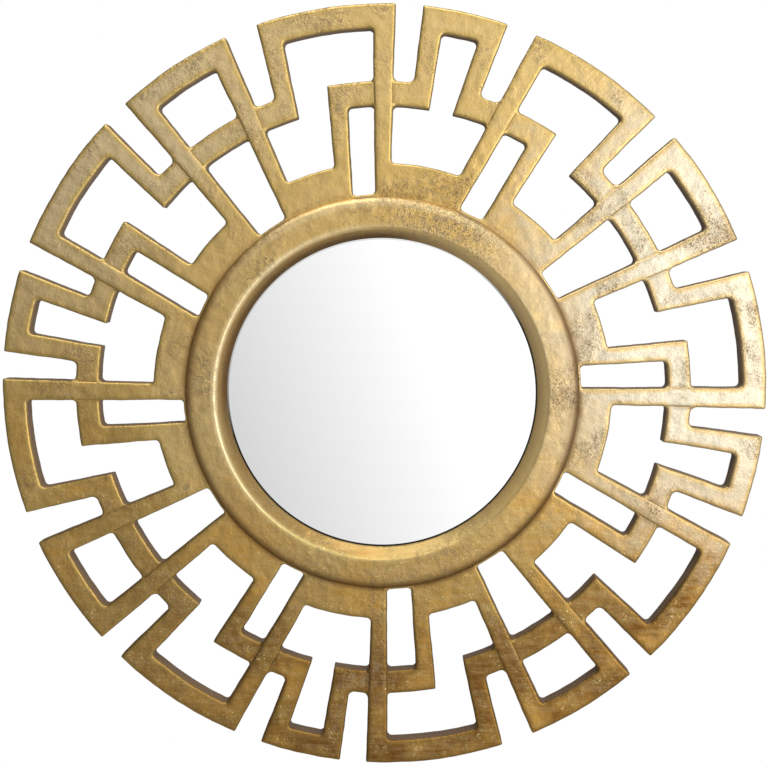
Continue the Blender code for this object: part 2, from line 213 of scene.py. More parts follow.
# Noises of the finish: how many waves to the metre, how much detail, and how rough
CLOUDS = (9.0, 4.0, 0.6)
BLOTS = (38.0, 4.0, 0.6)
GRAIN = (560.0, 3.0, 0.65)
BRUSHING = (26.0, 4.0, 0.7)
BRUSH_STRETCH = (1.0, 1.0, 9.0)
PATCHES = (15.0, 4.0, 0.6)
MOTTLING = (130.0, 5.0, 0.75)
GLINTS = (430.0, 1.0)
STAINS = (14.0, 4.0, 0.7)
SKIN = (75.0, 3.0, 0.55)
PIT_SKIN = (210.0, 3.0, 0.7)
CRUST_SKIN = (330.0, 3.0, 0.7)
FIBRES = (240.0, 5.0, 0.7)
FIBRE_STRETCH = (1.0, 1.0, 2.2)
BOARD_STAINS = (11.0, 3.0)
ZINC_CLOUDS = (320.0, 4.0, 0.65)
ZINC_BLOTS = (90.0, 3.0, 0.6)
FLOOR_CLOUDS = (3.0, 3.0)

# Spans over the radius: where a layer starts and ends, then its share at both if not 0 and 1
RING_EDGE = (MOULDING_RADIUS, MOULDING_RADIUS - 0.004)
CREST_INSIDE = (CREST_RADIUS, CREST_RADIUS - 0.004)
HUB_BROWN = (0.24, 0.30, 0.82, 1.0)
BAND_INSIDE = (0.26, 0.31)
BAND_OUTSIDE = (0.43, 0.38, 0.3, 1.0)
OUTWARD = (0.26, 0.36, 0.30, 1.0)
HUB_INSIDE = (0.29, 0.26)
RING_SHEEN = (0.20, 0.27, 0.55, 1.0)
LIP_SPAN = (0.1925, 0.1835)

# Spans over the way down or sideways from the centre, and over the distance from a spot
BROWN_BELOW = (0.10, 0.56)
BAND_LEFT = (0.0, 0.25)
WARM_BELOW = (-0.30, 0.05, 0.15, 0.75)
PALE_ABOVE = (-0.10, -0.34, 0.0, 0.30)
HUB_LEFT = (0.02, 0.12)
HUB_PALE = (0.15, 0.0, 0.0, 0.28)
INNER_RIGHT = (0.02, 0.14, 0.0, 0.8)
GLINTS_BELOW = (0.0, 0.25, 0.15, 0.75)
CREST_BELOW = (0.0, 0.15)
FOOT_BELOW = (-0.05, 0.20)
BROWN_SPOT_FADE = (0.20, 0.06, 0.0, 0.30)
SHEEN_FADE = (0.24, 0.06)
GREY_FADE = (0.34, 0.10, 0.0, 0.34)

# Spans over a noise or over another layer's share
EDGE_BLOTS = (0.25, 0.60, 0.6, 1.0)
OLIVE_BLOTS = (0.48, 0.70, 0.0, 0.45)
WARM_CLOUDS = (0.46, 0.60)
PALE_BRUSH = (0.44, 0.66, 0.0, 0.22)
EDGE_GREY = (0.15, 0.85, 1.0, 0.25)
EDGE_SHEEN = (0.0, 1.0, 0.8, 0.25)
PATCH_SPAN = (0.50, 0.62)
PIT_GRAIN = (0.56, 0.66)
PIT_SHARE = (0.0, 1.0, 0.06, 1.0)
MOTTLE_SPAN = (0.48, 0.58)
MOTTLE_SHARE = (0.0, 1.0, 0.60, 0.80)
GLINT_SPAN = (0.64, 0.70)
GLINT_BLOTS = (0.47, 0.60)
STAIN_SPAN = (0.58, 0.74, 0.0, 0.60)
ROUGHNESS = (0.3, 0.7, 0.32, 0.46)
FIBRE_SPAN = (0.35, 0.65)
BOARD_STAIN_SPAN = (0.4, 0.7, 0.0, 0.4)
ZINC_CLOUD_SPAN = (0.3, 0.7)
ZINC_BLOT_SPAN = (0.42, 0.66)
FLOOR_SPAN = (0.3, 0.7)

# How far each layer goes
BROWN_CLOUDS = 0.22
BAND_BROWN = 0.28
RING_PALE = 0.10
SHEEN_BLOTS = 0.20
SHEEN_PITS = 0.20
PATCH_AMOUNT = 0.50
PIT_AMOUNT = 0.60
CREST_HIGHLIGHT_AMOUNT = 0.85
FOOT_SHADE_MIX = 0.85
WALL_SHADE_AMOUNT = 0.92
BEVEL_AMOUNT = 0.75
LIP_BLOTS = 0.004
ZINC_DULLING = 0.5

# Gloss, and the height of the skin
DIRT_ROUGHNESS = 0.22
EDGE_SMOOTHING = 0.06
DIRTY_METAL = 0.35
SKIN_HEIGHT = 0.00085
GRAIN_HEIGHT = 0.00024
PIT_SKIN_HEIGHT = 0.00070
CRUST_SKIN_HEIGHT = 0.00100
PIT_DEPTH = 0.00030
GLASS_ROUGHNESS = 0.012
BOARD_ROUGHNESS = 0.82
FIBRE_HEIGHT = 0.0004
ZINC_ROUGHNESS = (0.30, 0.46)
ZINC_HEIGHT = 0.00008
FLOOR_ROUGHNESS = 0.7

# Dark line painted round the edge of the glass as the reflection of the ring's lip
DARK_LINE_RADIUS = 0.1825
DARK_LINE_FADE = 0.0004
LINE_TILT = 0.4
LINE_ABOVE = (0.02, 0.12, 1.0, 0.25)

# Colours
TAN_GOLD = (0.64, 0.420, 0.135)
BROWN_GOLD = (0.20, 0.088, 0.018)
OLIVE_GOLD = (0.40, 0.29, 0.080)
WARM_GOLD = (0.56, 0.32, 0.075)
PALE_GOLD = (0.66, 0.52, 0.27)
# Painted silvery sheen at right
SHEEN_CHAMPAGNE = (0.67, 0.595, 0.45)
# Painted glints
GLINT_GOLD = (0.90, 0.72, 0.38)
EDGE_GOLD = (0.56, 0.390, 0.130)
LOW_EDGE_GOLD = (0.26, 0.145, 0.036)
# Worn edges where the painted sheen lies
SHEEN_EDGE_GOLD = (0.72, 0.55, 0.27)
# Painted highlight on the ring's crest, dimmer below
CREST_HIGHLIGHT_GOLD = (0.88, 0.72, 0.42)
LOW_CREST_HIGHLIGHT_GOLD = (0.62, 0.50, 0.20)
# Painted light and painted shade on the ring's inner side at right
BEVEL_LIGHT_GOLD = (0.82, 0.58, 0.22)
BEVEL_SHADE_BROWN = (0.36, 0.21, 0.065)
# Painted shade, with some grime, by the glass, on the ring's flank and foot, and beside the spokes
LIP_SHADE_BROWN = (0.105, 0.056, 0.019)
SHADE_AND_GRIME_BROWN = (0.265, 0.145, 0.050)
LOW_SHADE_AND_GRIME_BROWN = (0.120, 0.058, 0.018)
PATCH_TAN = (0.46, 0.365, 0.220)
MOTTLE_BROWN = (0.36, 0.265, 0.150)
DARK_BROWN = (0.110, 0.060, 0.022)
STAIN_BROWN = (0.28, 0.17, 0.07)
# Painted shade on the walls
WALL_SHADE_BROWN = (0.20, 0.125, 0.070)
SILVER = (0.985, 0.99, 0.988)
# Painted reflection of the ring's dark lip on the glass
REFLECTION_BLACK = (0.02, 0.022, 0.018)
BOARD_BROWN = (0.33, 0.20, 0.095)
BOARD_TAN = (0.52, 0.36, 0.20)
BOARD_DARK = (0.14, 0.08, 0.04)
ZINC_GREY = (0.50, 0.50, 0.47)
ZINC_BRIGHT = (0.66, 0.66, 0.64)
ZINC_DULL = (0.36, 0.34, 0.28)
FLOOR_SHADE = (0.74, 0.73, 0.71)
FLOOR_LIGHT = (0.80, 0.79, 0.77)

# Studio
STUDIO_SLOPE = (2.0, 0.0, 0.72)
STUDIO_SPAN = (-0.75, 0.06, 0.32, 1.13)
BEHIND_SPAN = (-0.70, 0.05, 1.0, 0.45)
KEY_PLACE = (1.35, -2.1, -0.10)
KEY_SIZE = (0.9, 1.6)
KEY_POWER = 11.0
TOP_PLACE = (-0.1, -0.7, 1.5)
TOP_SIZE = (1.8, 0.8)
TOP_POWER = 12.0
FLOOR_LEVEL = -1.60
FLOOR_SIZE = 2.6
FLOOR_MIDDLE = -0.2


def added(name, data):
    """A new object with this data, in the scene."""
    made = bpy.data.objects.new(name, data)
    bpy.context.scene.collection.objects.link(made)
    return made


class Place:
    """Where the casting's centre and its flat back are, read from the frame."""

    def __init__(self):
        low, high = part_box("mirror_glass")
        self.x = (low[0] + high[0]) / 2
        self.z = (low[2] + high[2]) / 2
        self.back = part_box("cast_frame")[1][1]

    def world(self, plan_x, plan_y, height):
        return Vector((self.x + plan_x, self.back - height, self.z + plan_y))


def polar(radius, degrees):
    angle = math.radians(degrees)
    return Vector((radius * math.sin(angle), radius * math.cos(angle)))


def make_camera(place):
    data = bpy.data.cameras.new("camera")
    data.sensor_width = SENSOR_WIDTH
    data.lens = FOCAL_PIXELS / PHOTO_WIDTH * SENSOR_WIDTH
    data.clip_end = VIEW_DEPTH
    camera = added("camera", data)
    eye = (EYE_RIGHT * RIM_RADIUS, EYE_UP * RIM_RADIUS, FRET_DEPTH + EYE_AWAY * RIM_RADIUS)
    camera.location = place.world(*eye)
    camera.rotation_euler = (math.radians(90.0 - LOOK_DOWN), 0.0, math.radians(LOOK_LEFT))
    bpy.context.scene.camera = camera


# Outline of the casting, from a slice through the frame's solid

def sliced_edges(node, place):
    """Loops of plan points where a plane through the straps' walls cuts the solid."""
    shape = bmesh.new()
    shape.from_mesh(node.data)
    bmesh.ops.remove_doubles(shape, verts=shape.verts, dist=WELD)
    cut = bmesh.ops.bisect_plane(
        shape,
        geom=shape.verts[:] + shape.edges[:] + shape.faces[:],
        plane_co=(0.0, place.back - SLICE_HEIGHT, 0.0),
        plane_no=(0.0, 1.0, 0.0),
    )
    edges = [item for item in cut["geom_cut"] if isinstance(item, bmesh.types.BMEdge)]
    neighbours = {}
    for edge in edges:
        first, second = edge.verts
        neighbours.setdefault(first.index, []).append(second.index)
        neighbours.setdefault(second.index, []).append(first.index)
    shape.verts.ensure_lookup_table()
    loops = []
    seen = set()
    for start in sorted(neighbours):
        if start in seen:
            continue
        loop = [start]
        seen.add(start)
        while True:
            onward = [n for n in neighbours[loop[-1]] if n not in seen]
            if not onward:
                break
            loop.append(onward[0])
            seen.add(onward[0])
        points = [shape.verts[i].co for i in loop]
        loops.append([Vector((p.x - place.x, p.z - place.z)) for p in points])
    shape.free()
    return loops


def signed_area(points):
    return sum(a.cross(b) for a, b in zip(points, points[1:] + points[:1])) / 2


def turn_at(points, i):
    before = points[i] - points[i - 1]
    after = points[(i + 1) % len(points)] - points[i]
    return math.degrees(math.atan2(before.cross(after), before.dot(after)))


def corners_of(points):
    """The loop's real corners: the points of its arcs and of its straight runs are left out."""
    points = [p for i, p in enumerate(points) if (p - points[i - 1]).length > SHORTEST_SIDE]
    return [p for i, p in enumerate(points) if abs(turn_at(points, i)) > CORNER_TURN]


class Side:
    """One side of a window or strap: straight, or an arc about the mirror's centre."""

    def __init__(self, start, end):
        self.start = start
        self.end = end
        self.arc = abs(start.length - end.length) < ARC_SLACK
        self.turn = math.atan2(start.cross(end), start.dot(end))
        self.length = abs(self.turn) * start.length if self.arc else (end - start).length

    def point(self, along):
        share = along / self.length
        if not self.arc:
            return self.start.lerp(self.end, share)
        angle = math.atan2(self.start.y, self.start.x) + self.turn * share
        radius = self.start.length + (self.end.length - self.start.length) * share
        return Vector((radius * math.cos(angle), radius * math.sin(angle)))

    def direction(self, along):
        return (self.point(along + TANGENT_STEP) - self.point(along - TANGENT_STEP)).normalized()


class Column:
    """One point of the outline, and the way its rounded edge moves in over the metal."""

    def __init__(self, point, inward, centre=None, radius=0.0, deep=None):
        self.point = point
        self.inward = inward
        self.centre = centre
        self.radius = radius
        self.deep = deep

    def room(self):
        """Share of the full edge rounding that fits before the ring moulding's foot."""
        free = self.point.length - MOULDING_RADIUS - MOULDING_GAP
        return min(1.0, free / EDGE_REACH)

    def moved(self, reach):
        if self.centre is None or reach < 0.0:
            return self.point + self.inward * reach
        if reach <= self.radius:
            return self.centre + (self.point - self.centre) * (1.0 - reach / self.radius)
        return self.centre + self.deep * (reach - self.radius)


def left_of(direction):
    return Vector((-direction.y, direction.x))


def corner_columns(before, after, radius, count, convex):
    """The rounded corner between two sides, and how much of each side it takes."""
    into = before.direction(before.length)
    out = after.direction(0.0)
    half_turn = abs(math.atan2(into.cross(out), into.dot(out))) / 2
    trim = radius * math.tan(half_turn)
    start, end = before.point(before.length - trim), after.point(trim)
    inside = left_of(into) if convex else -left_of(into)
    centre = start + inside * radius
    columns = []
    first = math.atan2(*(start - centre).yx)
    last = math.atan2(*(end - centre).yx)
    sweep = (last - first + math.pi) % (2 * math.pi) - math.pi
    blend = (end - (centre + Vector((math.cos(first + sweep), math.sin(first + sweep))) * radius))
    bisector = (left_of(into) + left_of(out)).normalized()
    deep = bisector / math.cos(half_turn)
    for i in range(count + 1):
        share = i / count
        angle = first + sweep * share
        ray = Vector((math.cos(angle), math.sin(angle)))
        point = centre + ray * radius + blend * share
        if convex:
            columns.append(Column(point, -ray, centre, radius, deep))
        else:
            columns.append(Column(point, ray))
    return columns, trim


def rounded_loop(corners, fillet):
    """Columns all round one loop of corners, metal on the left."""
    sides = [Side(a, b) for a, b in zip(corners, corners[1:] + corners[:1])]
    count = len(sides)
    turned = []
    for i in range(count):
        before, after = sides[i - 1], sides[i]
        into, out = before.direction(before.length), after.direction(0.0)
        convex = into.cross(out) > 0.0
        radius = OUTER_FILLET if convex else fillet
        steps = OUTER_CORNER_STEPS if convex else INNER_CORNER_STEPS
        turned.append(corner_columns(before, after, radius, steps, convex))
    columns = []
    for i, side in enumerate(sides):
        arc, trim = turned[i]
        columns += arc
        far = side.length - turned[(i + 1) % count][1]
        steps = max(1, math.ceil((far - trim) / OUTLINE_STEP))
        for step in range(1, steps):
            along = trim + (far - trim) * step / steps
            columns.append(Column(side.point(along), left_of(side.direction(along))))
    return columns


def outline_loops(place):
    """Column loops for the outside and every window; the ring's opening is left out."""
    loops = []
    for points in sliced_edges(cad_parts["cast_frame"], place):
        if max(p.length for p in points) < MOULDING_RADIUS:
            continue
        outside = max(p.length for p in points) > RIM_RADIUS - RIM_SLACK
        if (signed_area(points) > 0.0) != outside:
            points = points[::-1]
        loops.append(rounded_loop(corners_of(points), SLOT_FILLET if outside else INNER_FILLET))
    return loops


# Height of the casting's front over its plan

def spoke_lines():
    """The two side lines of every spoke, as a point and a direction from web to rim."""
    lines = []
    for start in QUARTER_STARTS:
        for at_rim, at_web in SPOKES.values():
            sides = []
            for side in (-1, 1):
                rim = math.degrees(math.asin(LEG_WIDTH_AT_RIM / 2 / RIM_RADIUS)) * side
                web = math.degrees(math.asin(LEG_WIDTH_AT_WEB / 2 / WEB_RADIUS)) * side
                outer = polar(RIM_RADIUS, start + at_rim + rim)
                inner = polar(WEB_RADIUS, start + at_web + web)
                sides.append((inner, (outer - inner).normalized()))
            lines.append(sides)
    return lines


def share(value, start, end):
    return np.clip((value - start) / (end - start), 0.0, 1.0)


def edge_profile(depth):
    """How far the rounded edge lies below the face, at a depth in from the edge."""
    reach = np.clip(1.0 - depth / EDGE_REACH, 0.0, 1.0)
    return EDGE_FALL * (1.0 - np.sqrt(np.clip(1.0 - reach**2, 0.0, 1.0)))


def front_height(points, lines):
    """Height of the straps over plan points, without the outline's own rounded edges."""
    points = np.asarray(points)
    radius = np.hypot(points[:, 0], points[:, 1])
    sunk = np.minimum(share(radius, RIM_INNER, BAND_RADIUS), share(radius, WEB_RADIUS, BAND_INNER))
    height = FRET_DEPTH - BAND_DROP * sunk
    height = np.where(radius < WEB_RADIUS, FRET_DEPTH - WEB_DROP, height)
    ramp = share(radius, WEB_RADIUS, WEB_RADIUS + WEB_BLEND)
    height = height - WEB_DROP * (1.0 - ramp) * (radius >= WEB_RADIUS)
    crown = FRET_DEPTH - WEB_DROP * (1.0 - share(radius, WEB_RADIUS, BAND_INNER))
    for left, right in lines:
        depth = np.full(len(points), 1.0)
        for (start, along), sign in ((left, 1.0), (right, -1.0)):
            away = (points[:, 0] - start.x) * along.y - (points[:, 1] - start.y) * along.x
            depth = np.minimum(depth, sign * away)
        middle = (left[1] + right[1]).normalized()
        ahead = points[:, 0] * middle.x + points[:, 1] * middle.y > 0.0
        shoulder = edge_profile(np.maximum(depth, 0.0))
        proud = np.where((depth > -1e-9) & ahead & (radius > WEB_RADIUS), crown - shoulder, 0.0)
        height = np.maximum(height, proud)
    return height


def shoulder_marks(points, lines):
    """Where a spoke's proud edge is worn bright, and painted shade with grime beside it and at the
    ring's foot.
    """
    points = np.asarray(points)
    edge = np.zeros(len(points))
    crease = np.zeros(len(points))
    radius = np.hypot(points[:, 0], points[:, 1])
    band = (radius > BAND_INNER - CREASE_WIDTH) & (radius < BAND_RADIUS + CREASE_WIDTH)
    for left, right in lines:
        middle = (left[1] + right[1]).normalized()
        ahead = points[:, 0] * middle.x + points[:, 1] * middle.y > 0.0
        for (start, along), sign in ((left, 1.0), (right, -1.0)):
            away = (points[:, 0] - start.x) * along.y - (points[:, 1] - start.y) * along.x
            depth = np.where(ahead & band, sign * away, 1.0)
            shoulder = (depth >= 0.0) * (1.0 - share(depth, 0.0, EDGE_REACH))
            # Painted shade, with some grime, beside the spoke
            beside = (depth < 0.0) * (1.0 - share(-depth, 0.0, CREASE_WIDTH))
            edge = np.maximum(edge, shoulder)
            crease = np.maximum(crease, beside)
    # Painted shade at the ring's foot
    foot = 1.0 - share(radius, MOULDING_RADIUS, MOULDING_RADIUS + FOOT_WIDTH)
    return {"edge": edge, "crease": np.maximum(crease, foot)}


# Building the casting's surface

class Surface:
    """Gathers the casting's points (plan x, plan y, height), their marks and the faces."""

    def __init__(self):
        self.points = []
        self.faces = []
        self.marks = {"edge": [], "wall": [], "crease": [], "crest": []}

    def add(self, points, **marks):
        first = len(self.points)
        self.points += [tuple(point) for point in points]
        for name, values in self.marks.items():
            values += np.broadcast_to(marks.get(name, 0.0), len(points)).tolist()
        return list(range(first, len(self.points)))

    def strip(self, lower, upper, closed=True):
        """Quads between two rows of point numbers; lower to upper with the row is outward."""
        count = len(lower)
        for i in range(count if closed else count - 1):
            j = (i + 1) % count
            self.faces.append((lower[i], lower[j], upper[j], upper[i]))


def flank_shade(radius):
    return FLANK_SHADE * (1.0 - float(share(MOULDING_RADIUS - radius, FLANK_CORE, FLANK_FADE)))


RingRow = namedtuple("RingRow", "radius rise height shade worn on_crest")


def ring_rows():
    """The moulding's front from its foot to the glass. A row has its radius, its share of the
    rise over the plate, its height where that isn't shared, how dark its painted shade is, how
    strong its painted highlight is, and whether it takes the crest's painted highlight."""
    rows = []
    top = FRET_DEPTH + MOULDING_RISE
    for degrees in ROUND_ANGLES:
        t = math.radians(degrees)
        radius = MOULDING_RADIUS - MOULDING_ROUND * (1.0 - math.cos(t))
        rows.append(RingRow(radius, math.sin(t), None, flank_shade(radius), FLANK_HIGHLIGHT, False))
    outer = MOULDING_RADIUS - MOULDING_ROUND
    for i in range(1, FACE_ROWS + 1):
        along = i / FACE_ROWS
        radius = outer + (CREST_RADIUS - outer) * along
        height = top + FACE_CROWN * math.sin(along * math.pi / 2)
        last = i == FACE_ROWS
        worn = FACE_HIGHLIGHT if last else 0.0
        rows.append(RingRow(radius, 1.0, height, flank_shade(radius), worn, last))
    crest = top + FACE_CROWN
    for i in range(1, CREST_ROWS + 1):
        t = math.radians(BEVEL_TILT) * i / CREST_ROWS
        radius = CREST_RADIUS - CREST_ROUND * math.sin(t)
        height = crest - CREST_ROUND * (1.0 - math.cos(t))
        rows.append(RingRow(radius, 1.0, height, 0.0, 1.0, True))
    start = rows[-1]
    for i in range(1, BEVEL_ROWS + 1):
        along = i / BEVEL_ROWS
        radius = start.radius + (SIGHT_RADIUS - start.radius) * along
        bulge = BEVEL_BULGE * math.sin(math.pi * along)
        height = start.height + (LIP_HEIGHT - start.height) * along + bulge
        shade = BEVEL_SHADE * min(1.0, BEVEL_SHADE_START + BEVEL_SHADE_GROWTH * along)
        rows.append(RingRow(radius, 1.0, height, shade, BEVEL_HIGHLIGHT, False))
    return rows


def painted_shade_share(x, y, inner):
    """Share of the painted shade that stays round the ring: it gives way to light on the flank at
    the top, and on the inner side at the bottom and at the right."""
    upward = y / math.hypot(x, y)
    rightward = x / math.hypot(x, y)
    if inner:
        wiped = max(share(-upward, *LIT_BELOW), share(rightward, *LIT_RIGHT))
        return 1.0 - INNER_LIT * float(wiped)
    return 1.0 - FLANK_LIT * float(share(upward, *LIT_ABOVE))


def painted_highlight_share(x, y, inner, on_crest):
    """Share of the painted highlight: most on the crest's left, towards the right on the inner
    side, and elsewhere where the painted shade gives way to light."""
    if on_crest:
        left = float(share(-x / math.hypot(x, y), *HIGHLIGHT_LEFT))
        return LEAST_CREST_HIGHLIGHT + (1.0 - LEAST_CREST_HIGHLIGHT) * left
    if inner:
        return float(share(x / math.hypot(x, y), *HIGHLIGHT_RIGHT))
    return 1.0 - painted_shade_share(x, y, inner)


def circle_points(radius, height):
    angles = np.linspace(0.0, 2.0 * math.pi, RING_SIDES, endpoint=False)
    points = np.stack([radius * np.cos(angles), radius * np.sin(angles)], axis=1)
    return [(x, y, height) for x, y in points]


def make_ring(surface, lines):
    """The ring moulding from its foot on the plate over the crest to the back of its rebate."""
    foot_plan = [(x, y) for x, y, _ in circle_points(MOULDING_RADIUS, 0.0)]
    foot_heights = front_height(foot_plan, lines)
    # Painted shade at the ring's foot, less at the top where light falls
    shade_share = [FOOT_SHADE * painted_shade_share(x, y, False) for x, y in foot_plan]
    foot = surface.add([(x, y, h) for (x, y), h in zip(foot_plan, foot_heights)], crease=shade_share)
    previous = foot
    top = FRET_DEPTH + MOULDING_RISE
    for row in ring_rows():
        inner = row.radius < CREST_RADIUS
        scale = row.radius / MOULDING_RADIUS
        points = []
        for (x, y), base in zip(foot_plan, foot_heights):
            height = base + (top - base) * row.rise if row.height is None else row.height
            points.append((x * scale, y * scale, height))
        # Painted shade on the row, less where the moulding faces the light
        shade_share = [row.shade * painted_shade_share(x, y, inner) for x, y in foot_plan]
        # Painted highlight on the row
        bright = [row.worn * painted_highlight_share(x, y, inner, row.on_crest) for x, y in foot_plan]
        numbers = surface.add(points, crease=shade_share, crest=bright)
        surface.strip(previous, numbers)
        previous = numbers
    for radius, height in (
        (SIGHT_RADIUS, REBATE_DEPTH),
        (REBATE_RADIUS, REBATE_DEPTH),
        (REBATE_RADIUS, BACK_CHAMFER),
        (REBATE_RADIUS + BACK_CHAMFER, 0.0),
    ):
        numbers = surface.add(circle_points(radius, height), wall=1.0)
        surface.strip(previous, numbers)
        previous = numbers
    return foot, previous


def make_edges(surface, loops, lines):
    """Walls and rounded front edges all round each loop; returns their front and back rows."""
    fronts, backs = [], []
    for columns in loops:
        rooms = [column.room() for column in columns]
        inner_plan = [column.moved(EDGE_REACH * room) for column, room in zip(columns, rooms)]
        tops = front_height([(p.x, p.y) for p in inner_plan], lines)
        rows = []
        for height, reach in ((0.0, BACK_CHAMFER), (BACK_CHAMFER, 0.0)):
            moved = [column.moved(reach) for column in columns]
            rows.append(([(p.x, p.y, height) for p in moved], {"wall": 1.0}))
        edge = [column.moved(0.0) for column in columns]
        for i in range(1, WALL_ROWS):
            along = i / WALL_ROWS
            row = [
                (p.x, p.y, BACK_CHAMFER + (top - EDGE_FALL * room - BACK_CHAMFER) * along)
                for p, top, room in zip(edge, tops, rooms)
            ]
            rows.append((row, {"wall": 1.0}))
        for i in range(EDGE_ROWS):
            t = math.pi / 2 * i / (EDGE_ROWS - 1)
            reach = EDGE_REACH * (1.0 - math.cos(t))
            fall = EDGE_FALL * (1.0 - math.sin(t))
            moved = [column.moved(reach * room) for column, room in zip(columns, rooms)]
            row = [(p.x, p.y, top - fall * room) for p, top, room in zip(moved, tops, rooms)]
            rows.append((row, EDGE_FOOT if i == 0 else {"edge": 1.0}))
        previous = None
        for row, marks in rows:
            numbers = surface.add(row, **marks)
            if previous is None:
                backs.append(numbers)
            else:
                surface.strip(previous, numbers)
            previous = numbers
        fronts.append(previous)
    return fronts, backs


def step_lines(lines, tree):
    """Rows of points along the spokes' shoulders where they cross the band."""
    rows = []
    depths = [EDGE_REACH * value for value in SHOULDER_ROWS]
    steps = math.ceil((BAND_RADIUS - BAND_INNER) / SHOULDER_STEP)
    for left, right in lines:
        for (start, along), sign in ((left, 1.0), (right, -1.0)):
            inward = Vector((along.y, -along.x)) * sign
            for depth in depths:
                origin = start + inward * depth
                b = origin.dot(along)
                row = []
                for i in range(steps + 1):
                    radius = BAND_INNER + (BAND_RADIUS - BAND_INNER) * i / steps
                    reach = math.sqrt(b * b - origin.dot(origin) + radius**2) - b
                    point = origin + along * reach
                    if tree.find((point.x, point.y, 0.0))[2] > EDGE_REACH + SHOULDER_CLEAR:
                        row.append(point)
                rows.append(row)
    return [row for row in rows if len(row) > 1]


def hex_grid(step, reach):
    points = []
    high = step * math.sqrt(3) / 2
    for row in range(-int(reach / high), int(reach / high) + 1):
        shift = step / 2 if row % 2 else 0.0
        for column in range(-int(reach / step), int(reach / step) + 1):
            points.append(Vector((column * step + shift, row * high)))
    return points


def tree_of(points):
    tree = kdtree.KDTree(len(points))
    for i, point in enumerate(points):
        tree.insert((point[0], point[1], 0.0), i)
    tree.balance()
    return tree


def fill_plan(surface, boundary_rows, extra_rows, loose_points, height_of, mark_of):
    """Triangulates between boundary rows, outwards from the first one, the ring's circle.

    Boundary rows are point numbers that already exist; the extra rows and loose points are new.
    """
    points, numbers, edges = [], [], []
    for row in boundary_rows:
        first = len(points)
        for number in row:
            x, y, _ = surface.points[number]
            points.append(Vector((x, y)))
            numbers.append(number)
        count = len(row)
        edges += [(first + i, first + (i + 1) % count) for i in range(count)]
    boundary_count = len(edges)
    for row in extra_rows:
        first = len(points)
        points += row
        numbers += [None] * len(row)
        edges += [(first + i, first + i + 1) for i in range(len(row) - 1)]
    points += loose_points
    numbers += [None] * len(loose_points)
    made = geometry.delaunay_2d_cdt(points, edges, [], 0, PLAN_MERGE)
    verts, faces, origins = made[0], made[2], made[3]
    flat = [(v.x, v.y) for v in verts]
    heights = height_of(flat)
    marks = mark_of(flat)
    wanted = []
    for i, sources in enumerate(origins):
        known = [numbers[s] for s in sources if numbers[s] is not None]
        wanted.append(known[0] if known else None)
    boundary = set()
    lookup = {}
    for i, sources in enumerate(origins):
        for source in sources:
            lookup[source] = i
    for a, b in edges[:boundary_count]:
        pair = (lookup[a], lookup[b])
        boundary.add((min(pair), max(pair)))
    neighbours = {}
    for index, face in enumerate(faces):
        for a, b in zip(face, face[1:] + face[:1]):
            key = (min(a, b), max(a, b))
            if key not in boundary:
                neighbours.setdefault(key, []).append(index)
    links = [[] for _ in faces]
    for pair in neighbours.values():
        if len(pair) == 2:
            links[pair[0]].append(pair[1])
            links[pair[1]].append(pair[0])
    circle = {lookup[i] for i in range(len(boundary_rows[0]))}
    radius = math.hypot(*flat[lookup[0]])
    seeds = []
    for index, face in enumerate(faces):
        x = sum(flat[i][0] for i in face) / 3
        y = sum(flat[i][1] for i in face) / 3
        if len(circle.intersection(face)) == 2 and math.hypot(x, y) > radius:
            seeds.append(index)
    inside = set(seeds)
    waiting = list(seeds)
    while waiting:
        for other in links[waiting.pop()]:
            if other not in inside:
                inside.add(other)
                waiting.append(other)
    for index in sorted(inside):
        corners = []
        for i in faces[index]:
            if wanted[i] is None:
                spot = {name: values[i] for name, values in marks.items()}
                wanted[i] = surface.add([(*flat[i], heights[i])], **spot)[0]
            corners.append(wanted[i])
        surface.faces.append(tuple(corners))


def make_front(surface, ring_foot, fronts, loops, lines):
    edge_points = [column.point for columns in loops for column in columns]
    tree = tree_of(edge_points)
    rows = step_lines(lines, tree)
    row_tree = tree_of([point for row in rows for point in row])
    loose = []
    for point in hex_grid(SURFACE_STEP, RIM_RADIUS):
        radius = point.length
        if not MOULDING_RADIUS + RING_CLEAR < radius < RIM_RADIUS - EDGE_REACH - RIM_SLACK:
            continue
        place = (point.x, point.y, 0.0)
        if tree.find(place)[2] < EDGE_REACH + EDGE_CLEAR or row_tree.find(place)[2] < ROW_CLEAR:
            continue
        loose.append(point)

    def height_of(points):
        return front_height(points, lines)

    def mark_of(points):
        marks = shoulder_marks(points, lines)
        away = np.array([tree.find((x, y, 0.0))[2] for x, y in points])
        border = 1.0 - share(away, EDGE_REACH, EDGE_REACH + EDGE_GLOW)
        marks["edge"] = np.maximum(marks["edge"], border * BORDER_WEAR)
        return marks

    fill_plan(surface, [ring_foot] + fronts, rows, loose, height_of, mark_of)


def make_pocket(surface, place):
    """The recess behind the keyhole for the wall screw's head; returns its rim's points."""
    low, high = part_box("keyhole_plate")
    middle = (low[2] + high[2]) / 2 - place.z
    outline = []
    for i in range(POCKET_SIDES):
        t = 2 * math.pi * i / POCKET_SIDES
        end = POCKET_RISE / 2 if math.sin(t) > 0.0 else -POCKET_RISE / 2
        outline.append((POCKET_RADIUS * math.cos(t), middle + end + POCKET_RADIUS * math.sin(t)))
    rim = surface.add([(x, y, 0.0) for x, y in outline], wall=1.0)
    floor = surface.add([(x, y, POCKET_DEPTH) for x, y in outline], wall=1.0)
    surface.strip(rim, floor)
    surface.faces.append(tuple(floor))
    return rim


